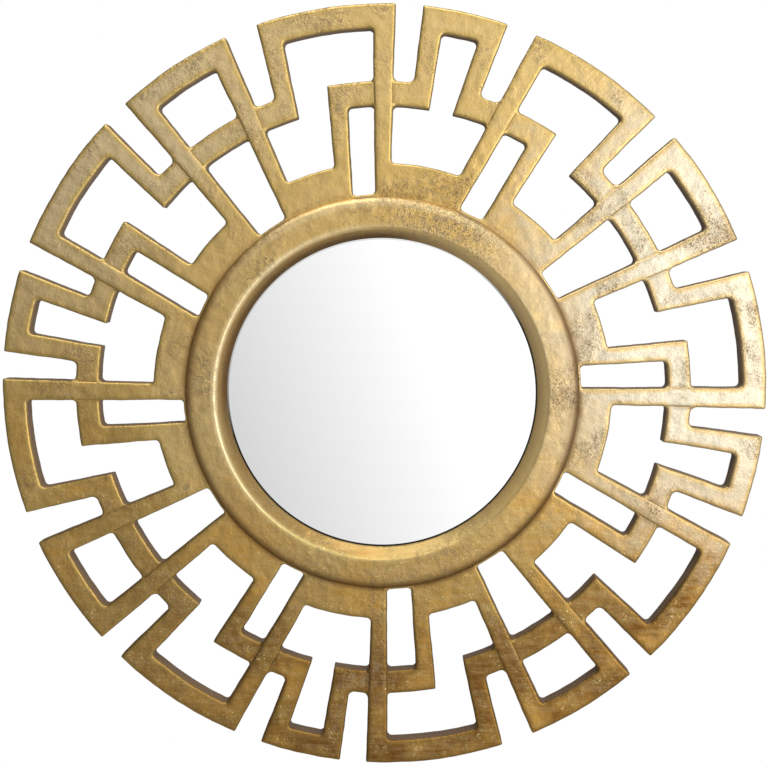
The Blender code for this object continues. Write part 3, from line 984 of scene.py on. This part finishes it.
def make_back(surface, ring_back, backs, loops, pocket):
    tree = tree_of([column.point for columns in loops for column in columns])
    loose = []
    for point in hex_grid(BACK_STEP, RIM_RADIUS):
        if not REBATE_RADIUS + BACK_CLEAR <= point.length <= RIM_RADIUS - BACK_CLEAR:
            continue
        if tree.find((point.x, point.y, 0.0))[2] > BACK_CLEAR:
            loose.append(point)

    def height_of(points):
        return np.zeros(len(points))

    def mark_of(points):
        return {"wall": np.ones(len(points))}

    fill_plan(surface, [ring_back, pocket] + backs, [], loose, height_of, mark_of)


def wavered(point):
    """The slight waver of a hand-made pattern: none at the glass, full in the fretwork."""
    x, y, height = point
    amount = min(1.0, max(0.0, (math.hypot(x, y) - WAVER_START) / WAVER_GROWTH))
    slow = noise.noise_vector((x * SLOW_WAVER, y * SLOW_WAVER, 0.0)) * SLOW_WAVER_SIZE
    quick = noise.noise_vector((x * QUICK_WAVER, y * QUICK_WAVER, 4.0)) * QUICK_WAVER_SIZE
    return (x + amount * (slow.x + quick.x), y + amount * (slow.y + quick.y), height)


def roughen(shape, place):
    """Moves the points along their normals, as sand leaves a casting; the glass's seat stays."""
    for vert in shape.verts:
        x, z = vert.co.x - place.x, vert.co.z - place.z
        free = min(1.0, max(0.0, (math.hypot(x, z) - SIGHT_RADIUS) / SEAT_FADE))
        lump = noise.noise(vert.co * LUMPS) * LUMP_SIZE + noise.noise(vert.co * GRAINS) * GRAIN_SIZE
        vert.co += vert.normal * lump * free


def make_casting(place):
    loops = outline_loops(place)
    lines = spoke_lines()
    surface = Surface()
    ring_foot, ring_back = make_ring(surface, lines)
    fronts, backs = make_edges(surface, loops, lines)
    pocket = make_pocket(surface, place)
    make_front(surface, ring_foot, fronts, loops, lines)
    make_back(surface, ring_back, backs, loops, pocket)
    mesh = bpy.data.meshes.new("frame_casting")
    noise.seed_set(WAVER_SEED)
    points = [place.world(*wavered(point)) for point in surface.points]
    mesh.from_pydata(points, [], surface.faces)
    for name, values in surface.marks.items():
        mark = mesh.attributes.new(name, "FLOAT", "POINT")
        mark.data.foreach_set("value", values)
    shape = bmesh.new()
    shape.from_mesh(mesh)
    bmesh.ops.remove_doubles(shape, verts=shape.verts, dist=CASTING_WELD)
    bmesh.ops.triangulate(shape, faces=shape.faces)
    bmesh.ops.recalc_face_normals(shape, faces=shape.faces)
    shape.normal_update()
    roughen(shape, place)
    shape.to_mesh(mesh)
    shape.free()
    mesh.shade_smooth()
    mesh.set_sharp_from_angle(angle=math.radians(SHARP_ANGLE))
    mesh.materials.append(AgedBrass(place).material)
    return added("frame_casting", mesh)


# Materials

class Nodes:
    """A node tree, with short ways to make nodes and feed their inputs."""

    def __init__(self, tree):
        self.tree = tree

    def node(self, kind, inputs=(), **settings):
        made = self.tree.nodes.new(kind)
        for name, value in settings.items():
            setattr(made, name, value)
        for key, value in dict(inputs).items():
            self.feed(made.inputs[key], value)
        return made

    def feed(self, socket, value):
        if isinstance(value, bpy.types.NodeSocket):
            self.tree.links.new(value, socket)
        else:
            socket.default_value = value

    def math(self, operation, first, second):
        return self.node("ShaderNodeMath", {0: first, 1: second}, operation=operation).outputs[0]

    def plus(self, first, second):
        return self.math("ADD", first, second)

    def minus(self, first, second):
        return self.math("SUBTRACT", first, second)

    def times(self, first, second):
        return self.math("MULTIPLY", first, second)

    def greater(self, first, second):
        return self.math("MAXIMUM", first, second)

    def ranged(self, value, low, high, to_low=0.0, to_high=1.0):
        """The value's place between low and high, as a number from to_low to to_high."""
        inputs = dict(enumerate((value, low, high, to_low, to_high)))
        return self.node("ShaderNodeMapRange", inputs).outputs["Result"]


class Shader(Nodes):
    """A material, with short ways to make the patterns and mixtures that its colours need."""

    def __init__(self, name):
        self.material = bpy.data.materials.new(name)
        self.material.use_nodes = True
        super().__init__(self.material.node_tree)
        self.surface = self.tree.nodes["Principled BSDF"].inputs
        self.here = self.node("ShaderNodeTexCoord").outputs["Object"]

    def stretched(self, x, y, z):
        """The object's place with its lengths scaled along each axis."""
        inputs = {"Vector": self.here, "Scale": (x, y, z)}
        return self.node("ShaderNodeMapping", inputs).outputs["Vector"]

    def noise(self, scale, detail=2.0, rough=0.5, place=None):
        inputs = {"Vector": place or self.here, "Scale": scale, "Detail": detail, "Roughness": rough}
        return self.node("ShaderNodeTexNoise", inputs).outputs["Fac"]

    def dot(self, direction):
        """How far the place lies along a direction."""
        inputs = {0: self.here, 1: direction}
        return self.node("ShaderNodeVectorMath", inputs, operation="DOT_PRODUCT").outputs["Value"]

    def far_from(self, point):
        """The distance from a point of the object."""
        inputs = {0: self.here, 1: tuple(point)}
        return self.node("ShaderNodeVectorMath", inputs, operation="DISTANCE").outputs["Value"]

    def mark(self, name):
        return self.node("ShaderNodeAttribute", attribute_name=name).outputs["Fac"]

    def mixed(self, amount, first, second):
        """The first colour, and the second one as far as the amount goes."""
        inputs = {0: amount}
        for key, value in ((6, first), (7, second)):
            inputs[key] = (*value, 1.0) if isinstance(value, tuple) else value
        return self.node("ShaderNodeMix", inputs, data_type="RGBA").outputs[2]

    def bump(self, height):
        """Bump from a height in metres."""
        inputs = {"Strength": 1.0, "Distance": 1.0, "Height": height}
        self.feed(self.surface["Normal"], self.node("ShaderNodeBump", inputs).outputs["Normal"])


class AgedBrass(Shader):
    """Sand-cast metal with an antique brass finish: tan gold, browner below, with a painted
    silvery sheen at right.
    """

    def __init__(self, place):
        super().__init__("aged_brass")
        self.measure(place)
        colour = self.washed_gold(place)
        colour = self.pitted_gold(colour)
        colour = self.wear_and_painted_light(colour)
        self.feed(self.surface["Base Color"], colour)
        self.add_gloss()
        self.add_relief()

    def spot(self, place, radius, angle):
        """The distance from a spot of the front that is given by its radius and angle."""
        return self.far_from(place.world(*polar(radius, angle), FRET_DEPTH))

    def measure(self, place):
        """Where a point lies on the mirror, and the noises and marks that several layers share."""
        self.away = self.far_from(place.world(0.0, 0.0, FRET_DEPTH))
        self.ring = self.ranged(self.away, *RING_EDGE)
        down = self.dot((-DOWN_TILT, 0.0, 1.0))
        self.down = self.minus(place.z - DOWN_TILT * place.x, down)
        x, _, z = LOW_LEFT
        self.low_left = self.plus(self.dot(LOW_LEFT), -x * place.x - z * place.z)
        right = self.minus(self.dot((1.0, 0.0, 0.0)), place.x)
        # The ring's inner side at the right, where light and shade are painted
        self.inner_right = self.times(self.ranged(self.away, *CREST_INSIDE),
                                      self.ranged(right, *INNER_RIGHT))
        self.clouds = self.noise(*CLOUDS)
        self.blots = self.noise(*BLOTS)
        self.grain = self.noise(*GRAIN)
        self.edge = self.times(self.mark("edge"), self.ranged(self.blots, *EDGE_BLOTS))
        self.wall = self.mark("wall")
        self.crease = self.mark("crease")

    def washed_gold(self, place):
        """The clean metal: browner below, warm and olive in clouds, pale above, with a painted
        silvery sheen at right.
        """
        low = self.plus(self.down, self.times(self.clouds, BROWN_CLOUDS))
        browned = self.times(self.ranged(low, *BROWN_BELOW), self.ranged(self.away, *HUB_BROWN))
        band = self.times(self.ranged(self.away, *BAND_INSIDE), self.ranged(self.away, *BAND_OUTSIDE))
        band = self.times(self.times(band, self.ranged(self.low_left, *BAND_LEFT)), BAND_BROWN)
        browned = self.plus(browned, band)
        low_right = self.spot(place, BROWN_SPOT_RADIUS, BROWN_SPOT_ANGLE)
        self.browned = self.plus(browned, self.ranged(low_right, *BROWN_SPOT_FADE))
        colour = self.mixed(self.browned, TAN_GOLD, BROWN_GOLD)
        colour = self.mixed(self.ranged(self.blots, *OLIVE_BLOTS), colour, OLIVE_GOLD)
        warm = self.times(self.ranged(self.clouds, *WARM_CLOUDS), self.ranged(self.down, *WARM_BELOW))
        colour = self.mixed(warm, colour, WARM_GOLD)

        brushed = self.noise(*BRUSHING, self.stretched(*BRUSH_STRETCH))
        pale = self.plus(self.ranged(brushed, *PALE_BRUSH), self.times(self.ring, RING_PALE))
        outward = self.ranged(self.away, *OUTWARD)
        pale = self.plus(pale, self.times(outward, self.ranged(self.down, *PALE_ABOVE)))
        hub = self.times(self.ranged(self.away, *HUB_INSIDE), self.ranged(self.low_left, *HUB_LEFT))
        pale = self.plus(pale, self.times(hub, self.ranged(self.down, *HUB_PALE)))
        colour = self.mixed(pale, colour, PALE_GOLD)

        # Painted sheen: faces at the right made silvery champagne as if they reflected the bright
        # light there; a grey patch at the upper left adds to it
        bright = self.spot(place, SHEEN_SPOT_RADIUS, SHEEN_SPOT_ANGLE)
        bright = self.minus(bright, self.times(self.blots, SHEEN_BLOTS))
        self.painted_sheen = self.times(self.ranged(bright, *SHEEN_FADE),
                                  self.ranged(self.away, *RING_SHEEN))
        grey = self.ranged(self.spot(place, GREY_SPOT_RADIUS, GREY_SPOT_ANGLE), *GREY_FADE)
        grey = self.plus(self.painted_sheen, self.times(outward, grey))
        crust = self.ranged(self.spot(place, CRUST_RADIUS, CRUST_ANGLE), CRUST_REACH, CRUST_CORE)
        self.crusty = self.times(crust, self.ring)
        return self.mixed(self.times(grey, self.ranged(self.edge, *EDGE_GREY)), colour, SHEEN_CHAMPAGNE)

    def pitted_gold(self, colour):
        """Rough patches with mottling and dark pits, painted glints below, and a few stains."""
        patches = self.ranged(self.noise(*PATCHES), *PATCH_SPAN)
        rough = self.greater(patches, self.crusty)
        self.pitted = self.greater(rough, self.times(self.painted_sheen, SHEEN_PITS))
        pits = self.ranged(self.pitted, *PIT_SHARE)
        self.pits = self.times(self.ranged(self.grain, *PIT_GRAIN), pits)
        # Tan patches within the painted sheen
        tan = self.times(self.times(patches, self.painted_sheen), PATCH_AMOUNT)
        colour = self.mixed(tan, colour, PATCH_TAN)
        mottled = self.times(self.ranged(self.noise(*MOTTLING), *MOTTLE_SPAN), self.pitted)
        mottled = self.times(mottled, self.ranged(self.crusty, *MOTTLE_SHARE))
        colour = self.mixed(mottled, colour, MOTTLE_BROWN)
        colour = self.mixed(self.times(self.pits, PIT_AMOUNT), colour, DARK_BROWN)
        # Painted glints: bright gold specks, mostly below
        glints = self.ranged(self.noise(*GLINTS), *GLINT_SPAN)
        glints = self.times(glints, self.ranged(self.blots, *GLINT_BLOTS))
        glints = self.times(glints, self.ranged(self.down, *GLINTS_BELOW))
        colour = self.mixed(glints, colour, GLINT_GOLD)
        return self.mixed(self.ranged(self.noise(*STAINS), *STAIN_SPAN), colour, STAIN_BROWN)

    def wear_and_painted_light(self, colour):
        """Worn bright edges, the crest's painted highlight, painted shade with some grime along the
        ring, painted shade on the walls, and painted light and shade on the ring's inner side.
        """
        worn = self.mixed(self.browned, EDGE_GOLD, LOW_EDGE_GOLD)
        # Edges are lighter where the painted sheen lies
        worn = self.mixed(self.painted_sheen, worn, SHEEN_EDGE_GOLD)
        rubbed = self.times(self.edge, self.ranged(self.painted_sheen, *EDGE_SHEEN))
        colour = self.mixed(rubbed, colour, worn)
        # Painted highlight on the crest, on the flank's top and on the inner side at the right,
        # dimmer below
        crest_highlight = self.mixed(self.ranged(self.down, *CREST_BELOW), CREST_HIGHLIGHT_GOLD, LOW_CREST_HIGHLIGHT_GOLD)
        colour = self.mixed(self.times(self.mark("crest"), CREST_HIGHLIGHT_AMOUNT), colour, crest_highlight)
        # Painted shade, with some grime, on the ring's flank, foot and inner side and beside the
        # spokes: darker below, darkest by the glass
        foot = self.mixed(self.ranged(self.down, *FOOT_BELOW), SHADE_AND_GRIME_BROWN, LOW_SHADE_AND_GRIME_BROWN)
        shade_brown = self.mixed(self.ranged(self.away, SIGHT_RADIUS, CREST_RADIUS), LIP_SHADE_BROWN, foot)
        shade_share = self.ranged(self.away, SIGHT_RADIUS, CREST_RADIUS, 1.0, FOOT_SHADE_MIX)
        colour = self.mixed(self.times(self.crease, shade_share), colour, shade_brown)
        # Painted shade on the walls, the rebate, the pocket and the back
        colour = self.mixed(self.ranged(self.wall, 0.0, 1.0, 0.0, WALL_SHADE_AMOUNT), colour, WALL_SHADE_BROWN)
        # Painted light on the ring's inner side at the right, and painted shade by the glass there
        colour = self.mixed(self.times(self.inner_right, BEVEL_AMOUNT), colour, BEVEL_LIGHT_GOLD)
        lip = self.ranged(self.minus(self.away, self.times(self.blots, LIP_BLOTS)), *LIP_SPAN)
        lip = self.times(self.times(self.inner_right, lip), BEVEL_AMOUNT)
        return self.mixed(lip, colour, BEVEL_SHADE_BROWN)

    def add_gloss(self):
        """Satin metal, smoother on its edges and rougher on its walls and in the painted shade and
        grime; its walls and the ring's inner right side are less metallic."""
        matt = self.times(self.greater(self.wall, self.crease), DIRT_ROUGHNESS)
        rough = self.plus(self.ranged(self.blots, *ROUGHNESS), matt)
        rough = self.minus(rough, self.times(self.edge, EDGE_SMOOTHING))
        self.feed(self.surface["Roughness"], rough)
        bare = self.ranged(self.greater(self.wall, self.inner_right), 0.0, 1.0, 1.0, DIRTY_METAL)
        self.feed(self.surface["Metallic"], bare)

    def add_relief(self):
        """The skin that sand leaves, rougher where the metal is pitted or crusty."""
        relief = self.times(self.noise(*SKIN), SKIN_HEIGHT)
        relief = self.plus(relief, self.times(self.grain, GRAIN_HEIGHT))
        rough = self.times(self.pitted, self.noise(*PIT_SKIN))
        relief = self.plus(relief, self.times(rough, PIT_SKIN_HEIGHT))
        rough = self.times(self.crusty, self.noise(*CRUST_SKIN))
        relief = self.plus(relief, self.times(rough, CRUST_SKIN_HEIGHT))
        self.bump(self.minus(relief, self.times(self.pits, PIT_DEPTH)))


def looking_glass(place):
    """A clean mirror with a thin dark line painted round its edge as the reflection of the ring's
    lip, faint at the top.
    """
    s = Shader("looking_glass")
    away = s.far_from((place.x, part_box("mirror_glass")[0][1], place.z))
    # Painted reflection of the ring's lip: a dark line round the glass's edge
    line = s.ranged(away, DARK_LINE_RADIUS - DARK_LINE_FADE, DARK_LINE_RADIUS)
    up = s.minus(s.dot((-LINE_TILT, 0.0, 1.0)), place.z - LINE_TILT * place.x)
    line = s.times(line, s.ranged(up, *LINE_ABOVE))
    s.feed(s.surface["Base Color"], s.mixed(line, SILVER, REFLECTION_BLACK))
    s.feed(s.surface["Metallic"], 1.0)
    s.feed(s.surface["Roughness"], GLASS_ROUGHNESS)
    return s.material


def hardboard():
    """Pressed wood fibre behind the glass."""
    s = Shader("hardboard")
    fibres = s.noise(*FIBRES, s.stretched(*FIBRE_STRETCH))
    colour = s.mixed(s.ranged(fibres, *FIBRE_SPAN), BOARD_BROWN, BOARD_TAN)
    colour = s.mixed(s.ranged(s.noise(*BOARD_STAINS), *BOARD_STAIN_SPAN), colour, BOARD_DARK)
    s.feed(s.surface["Base Color"], colour)
    s.feed(s.surface["Roughness"], BOARD_ROUGHNESS)
    s.bump(s.times(fibres, FIBRE_HEIGHT))
    return s.material


def zinc_steel():
    """Zinc-plated steel: grey, faintly clouded, dulled in blots."""
    s = Shader("zinc_plated_steel")
    clouds = s.noise(*ZINC_CLOUDS)
    dull = s.times(s.ranged(s.noise(*ZINC_BLOTS), *ZINC_BLOT_SPAN), ZINC_DULLING)
    colour = s.mixed(s.ranged(clouds, *ZINC_CLOUD_SPAN), ZINC_GREY, ZINC_BRIGHT)
    s.feed(s.surface["Base Color"], s.mixed(dull, colour, ZINC_DULL))
    s.feed(s.surface["Roughness"], s.ranged(clouds, *ZINC_CLOUD_SPAN, *ZINC_ROUGHNESS))
    s.feed(s.surface["Metallic"], 1.0)
    s.bump(s.times(clouds, ZINC_HEIGHT))
    return s.material


def dress(node, material):
    """Gives a CAD node a material of its own."""
    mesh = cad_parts[node].data
    mesh.materials.clear()
    mesh.materials.append(material)


# Screws, made with Geometry Nodes

class Tree(Nodes):
    """A Geometry Nodes tree with named inputs for its sizes."""

    def __init__(self, name, sizes):
        super().__init__(bpy.data.node_groups.new(name, "GeometryNodeTree"))
        self.ports = {}
        self.declare("Places", "NodeSocketGeometry")
        self.tree.interface.new_socket("Geometry", in_out="OUTPUT", socket_type="NodeSocketGeometry")
        for size in sizes:
            self.declare(size, "NodeSocketFloat")
        self.declare("Finish", "NodeSocketMaterial")
        self.given = self.node("NodeGroupInput").outputs

    def declare(self, name, kind):
        self.ports[name] = self.tree.interface.new_socket(name, in_out="INPUT", socket_type=kind)

    def triple(self, x, y, z):
        return self.node("ShaderNodeCombineXYZ", {0: x, 1: y, 2: z}).outputs[0]

    def moved(self, shape, x, y, z):
        inputs = {"Geometry": shape, "Translation": self.triple(x, y, z)}
        return self.node("GeometryNodeTransform", inputs).outputs[0]

    def joined(self, *shapes):
        made = self.node("GeometryNodeJoinGeometry")
        for shape in shapes:
            self.tree.links.new(shape, made.inputs[0])
        return made.outputs[0]

    def boolean(self, operation, first, second):
        made = self.node("GeometryNodeMeshBoolean", operation=operation, solver="EXACT")
        self.tree.links.new(first, made.inputs["Mesh 1" if operation == "DIFFERENCE" else "Mesh 2"])
        self.tree.links.new(second, made.inputs["Mesh 2"])
        return made.outputs["Mesh"]


def screw_head(t):
    """A tapered head whose top is domed, with its seat at height 0."""
    given = t.given
    head = t.node("GeometryNodeMeshCone", {
        "Vertices": SCREW_SIDES,
        "Side Segments": HEAD_STEPS,
        "Fill Segments": DOME_RINGS,
        "Radius Top": given["Top radius"],
        "Radius Bottom": given["Seat radius"],
        "Depth": given["Head height"],
    }).outputs["Mesh"]
    position = t.node("GeometryNodeInputPosition").outputs[0]
    x, y, z = t.node("ShaderNodeSeparateXYZ", {0: position}).outputs
    away = t.node("ShaderNodeVectorMath", {0: t.triple(x, y, 0.0)}, operation="LENGTH")
    along = t.math("DIVIDE", away.outputs["Value"], given["Top radius"])
    dome = t.minus(1.0, t.times(along, along))
    on_top = t.math("GREATER_THAN", z, t.times(given["Head height"], TOP_FROM))
    lift = t.triple(0.0, 0.0, t.times(t.times(dome, on_top), given["Crown"]))
    return t.node("GeometryNodeSetPosition", {"Geometry": head, "Offset": lift}).outputs[0]


def screw_tree():
    """A cross-recessed screw at every place, turned by chance about its own axis."""
    t = Tree("cross_recessed_screw", [*PAN_SCREW, "Length"])
    given = t.given
    head = screw_head(t)
    shank = t.node("GeometryNodeMeshCylinder", {
        "Vertices": SCREW_SIDES,
        "Radius": given["Shank radius"],
        "Depth": given["Length"],
    }).outputs["Mesh"]
    overlap = t.times(given["Head height"], SHANK_OVERLAP)
    shank = t.moved(shank, 0.0, 0.0, t.minus(overlap, t.times(given["Length"], 0.5)))
    reach, width, depth = given["Recess reach"], given["Recess width"], given["Recess depth"]
    bars = []
    for size in ((reach, width, depth), (width, reach, depth)):
        bars.append(t.node("GeometryNodeMeshCube", {"Size": t.triple(*size)}).outputs["Mesh"])
    cross = t.boolean("UNION", *bars)
    cross = t.moved(cross, 0.0, 0.0, t.plus(given["Head height"], given["Crown"]))
    screw = t.joined(t.boolean("DIFFERENCE", head, cross), shank)
    chance = t.node("FunctionNodeRandomValue", {"Seed": SCREW_SEED}, data_type="FLOAT").outputs[1]
    screws = t.node("GeometryNodeInstanceOnPoints", {
        "Points": given["Places"],
        "Instance": screw,
        "Rotation": t.triple(math.radians(-90.0), 0.0, 0.0),
    }).outputs[0]
    spin = t.triple(0.0, 0.0, t.times(chance, math.pi / 2))
    inputs = {"Instances": screws, "Rotation": spin}
    screws = t.node("GeometryNodeRotateInstances", inputs).outputs[0]
    screws = t.node("GeometryNodeRealizeInstances", {"Geometry": screws}).outputs[0]
    inputs = {"Geometry": screws, "Material": given["Finish"]}
    screws = t.node("GeometryNodeSetMaterial", inputs).outputs[0]
    t.node("NodeGroupOutput", {0: screws})
    return t


def evaluated_screws(name, places, tree, sizes, steel):
    """The plain mesh that the tree makes of screws at these places."""
    mesh = bpy.data.meshes.new(name + "_places")
    mesh.from_pydata(places, [], [])
    points = added(name + "_places", mesh)
    modifier = points.modifiers.new("screws", "NODES")
    modifier.node_group = tree.tree
    for key, value in dict(sizes, Finish=steel).items():
        modifier[tree.ports[key].identifier] = value
    points.update_tag()
    seen = points.evaluated_get(bpy.context.evaluated_depsgraph_get())
    finished = bpy.data.meshes.new_from_object(seen)
    bpy.data.objects.remove(points)
    finished.name = name
    return finished


def make_screws(name, nodes, tree, sizes, steel):
    """Screws in the places of the frame's plain ones, as one mesh."""
    places = []
    for node in nodes:
        low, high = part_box(node)
        seat = high[1] - sizes["Head height"] - sizes["Crown"]
        places.append(((low[0] + high[0]) / 2, seat, (low[2] + high[2]) / 2))
    length = high[1] - low[1] - sizes["Crown"] - sizes["Head height"] * (1.0 - SHANK_OVERLAP)
    mesh = evaluated_screws(name, places, tree, dict(sizes, Length=length), steel)
    mesh.materials.clear()
    mesh.materials.append(steel)
    mesh.polygons.foreach_set("material_index", [0] * len(mesh.polygons))
    shape = bmesh.new()
    shape.from_mesh(mesh)
    bmesh.ops.remove_doubles(shape, verts=shape.verts, dist=WELD)
    bmesh.ops.triangulate(shape, faces=shape.faces)
    bmesh.ops.dissolve_degenerate(shape, edges=shape.edges, dist=CASTING_WELD)
    bmesh.ops.triangulate(shape, faces=shape.faces)
    shape.to_mesh(mesh)
    shape.free()
    mesh.shade_smooth()
    mesh.set_sharp_from_angle(angle=math.radians(SCREW_SHARP_ANGLE))
    made = added(name, mesh)
    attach(made, "root")
    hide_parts(*nodes)


# Surroundings

def make_floor(place):
    """A small pale floor under the mirror, out of the photograph's view."""
    bpy.ops.mesh.primitive_plane_add(size=FLOOR_SIZE, location=(place.x, FLOOR_MIDDLE, FLOOR_LEVEL))
    floor = bpy.context.object
    floor.name = floor.data.name = "floor"
    s = Shader("pale_floor")
    tone = s.ranged(s.noise(*FLOOR_CLOUDS), *FLOOR_SPAN)
    s.feed(s.surface["Base Color"], s.mixed(tone, FLOOR_SHADE, FLOOR_LIGHT))
    s.feed(s.surface["Roughness"], FLOOR_ROUGHNESS)
    floor.data.materials.append(s.material)


def make_world():
    """A white studio, bright to the right and above, and dimmer to the left, below and behind
    the mirror; the camera itself sees plain white."""
    world = bpy.data.worlds.new("studio")
    bpy.context.scene.world = world
    world.use_nodes = True
    t = Nodes(world.node_tree)
    towards = t.node("ShaderNodeTexCoord").outputs["Generated"]
    slope = t.node("ShaderNodeVectorMath", {0: towards, 1: STUDIO_SLOPE}, operation="DOT_PRODUCT")
    glow = t.ranged(slope.outputs["Value"], *STUDIO_SPAN)
    depth = t.node("ShaderNodeSeparateXYZ", {0: towards}).outputs["Y"]
    light = t.times(glow, t.ranged(depth, *BEHIND_SPAN))
    seen = t.node("ShaderNodeLightPath").outputs["Is Camera Ray"]
    strength = t.node("ShaderNodeMix", {0: seen, 2: light, 3: 1.0}).outputs[0]
    background = t.tree.nodes["Background"].inputs
    t.feed(background["Strength"], strength)
    t.feed(background["Color"], (1.0, 1.0, 1.0, 1.0))
    bpy.context.scene.view_settings.view_transform = "Standard"


def make_light(name, location, aim, size, power):
    data = bpy.data.lights.new(name, "AREA")
    data.shape = "RECTANGLE"
    data.size, data.size_y = size
    data.energy = power
    light = added(name, data)
    light.location = location
    light.rotation_euler = (Vector(aim) - Vector(location)).to_track_quat("-Z", "Y").to_euler()


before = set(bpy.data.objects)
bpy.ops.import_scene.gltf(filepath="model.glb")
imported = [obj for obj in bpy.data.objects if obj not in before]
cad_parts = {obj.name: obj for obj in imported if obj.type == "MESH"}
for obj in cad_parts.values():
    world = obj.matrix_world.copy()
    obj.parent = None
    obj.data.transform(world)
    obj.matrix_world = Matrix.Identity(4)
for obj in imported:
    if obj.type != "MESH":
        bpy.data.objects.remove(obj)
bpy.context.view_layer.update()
place = Place()
make_camera(place)
casting = make_casting(place)
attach(casting, "root")
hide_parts("cast_frame")
dress("mirror_glass", looking_glass(place))
dress("backing_board", hardboard())
steel = zinc_steel()
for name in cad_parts:
    if name.startswith(("retaining_clip", "keyhole_plate")):
        dress(name, steel)
screws = screw_tree()
make_screws("clip_screws", [f"clip_screw_{i}" for i in range(1, 5)], screws, PAN_SCREW, steel)
make_screws("plate_screws", ["plate_screw_1", "plate_screw_2"], screws, SUNK_SCREW, steel)
make_floor(place)
make_world()
make_light("key", KEY_PLACE, (place.x, 0.0, place.z), KEY_SIZE, KEY_POWER)
make_light("overhead", TOP_PLACE, (place.x, 0.0, place.z), TOP_SIZE, TOP_POWER)
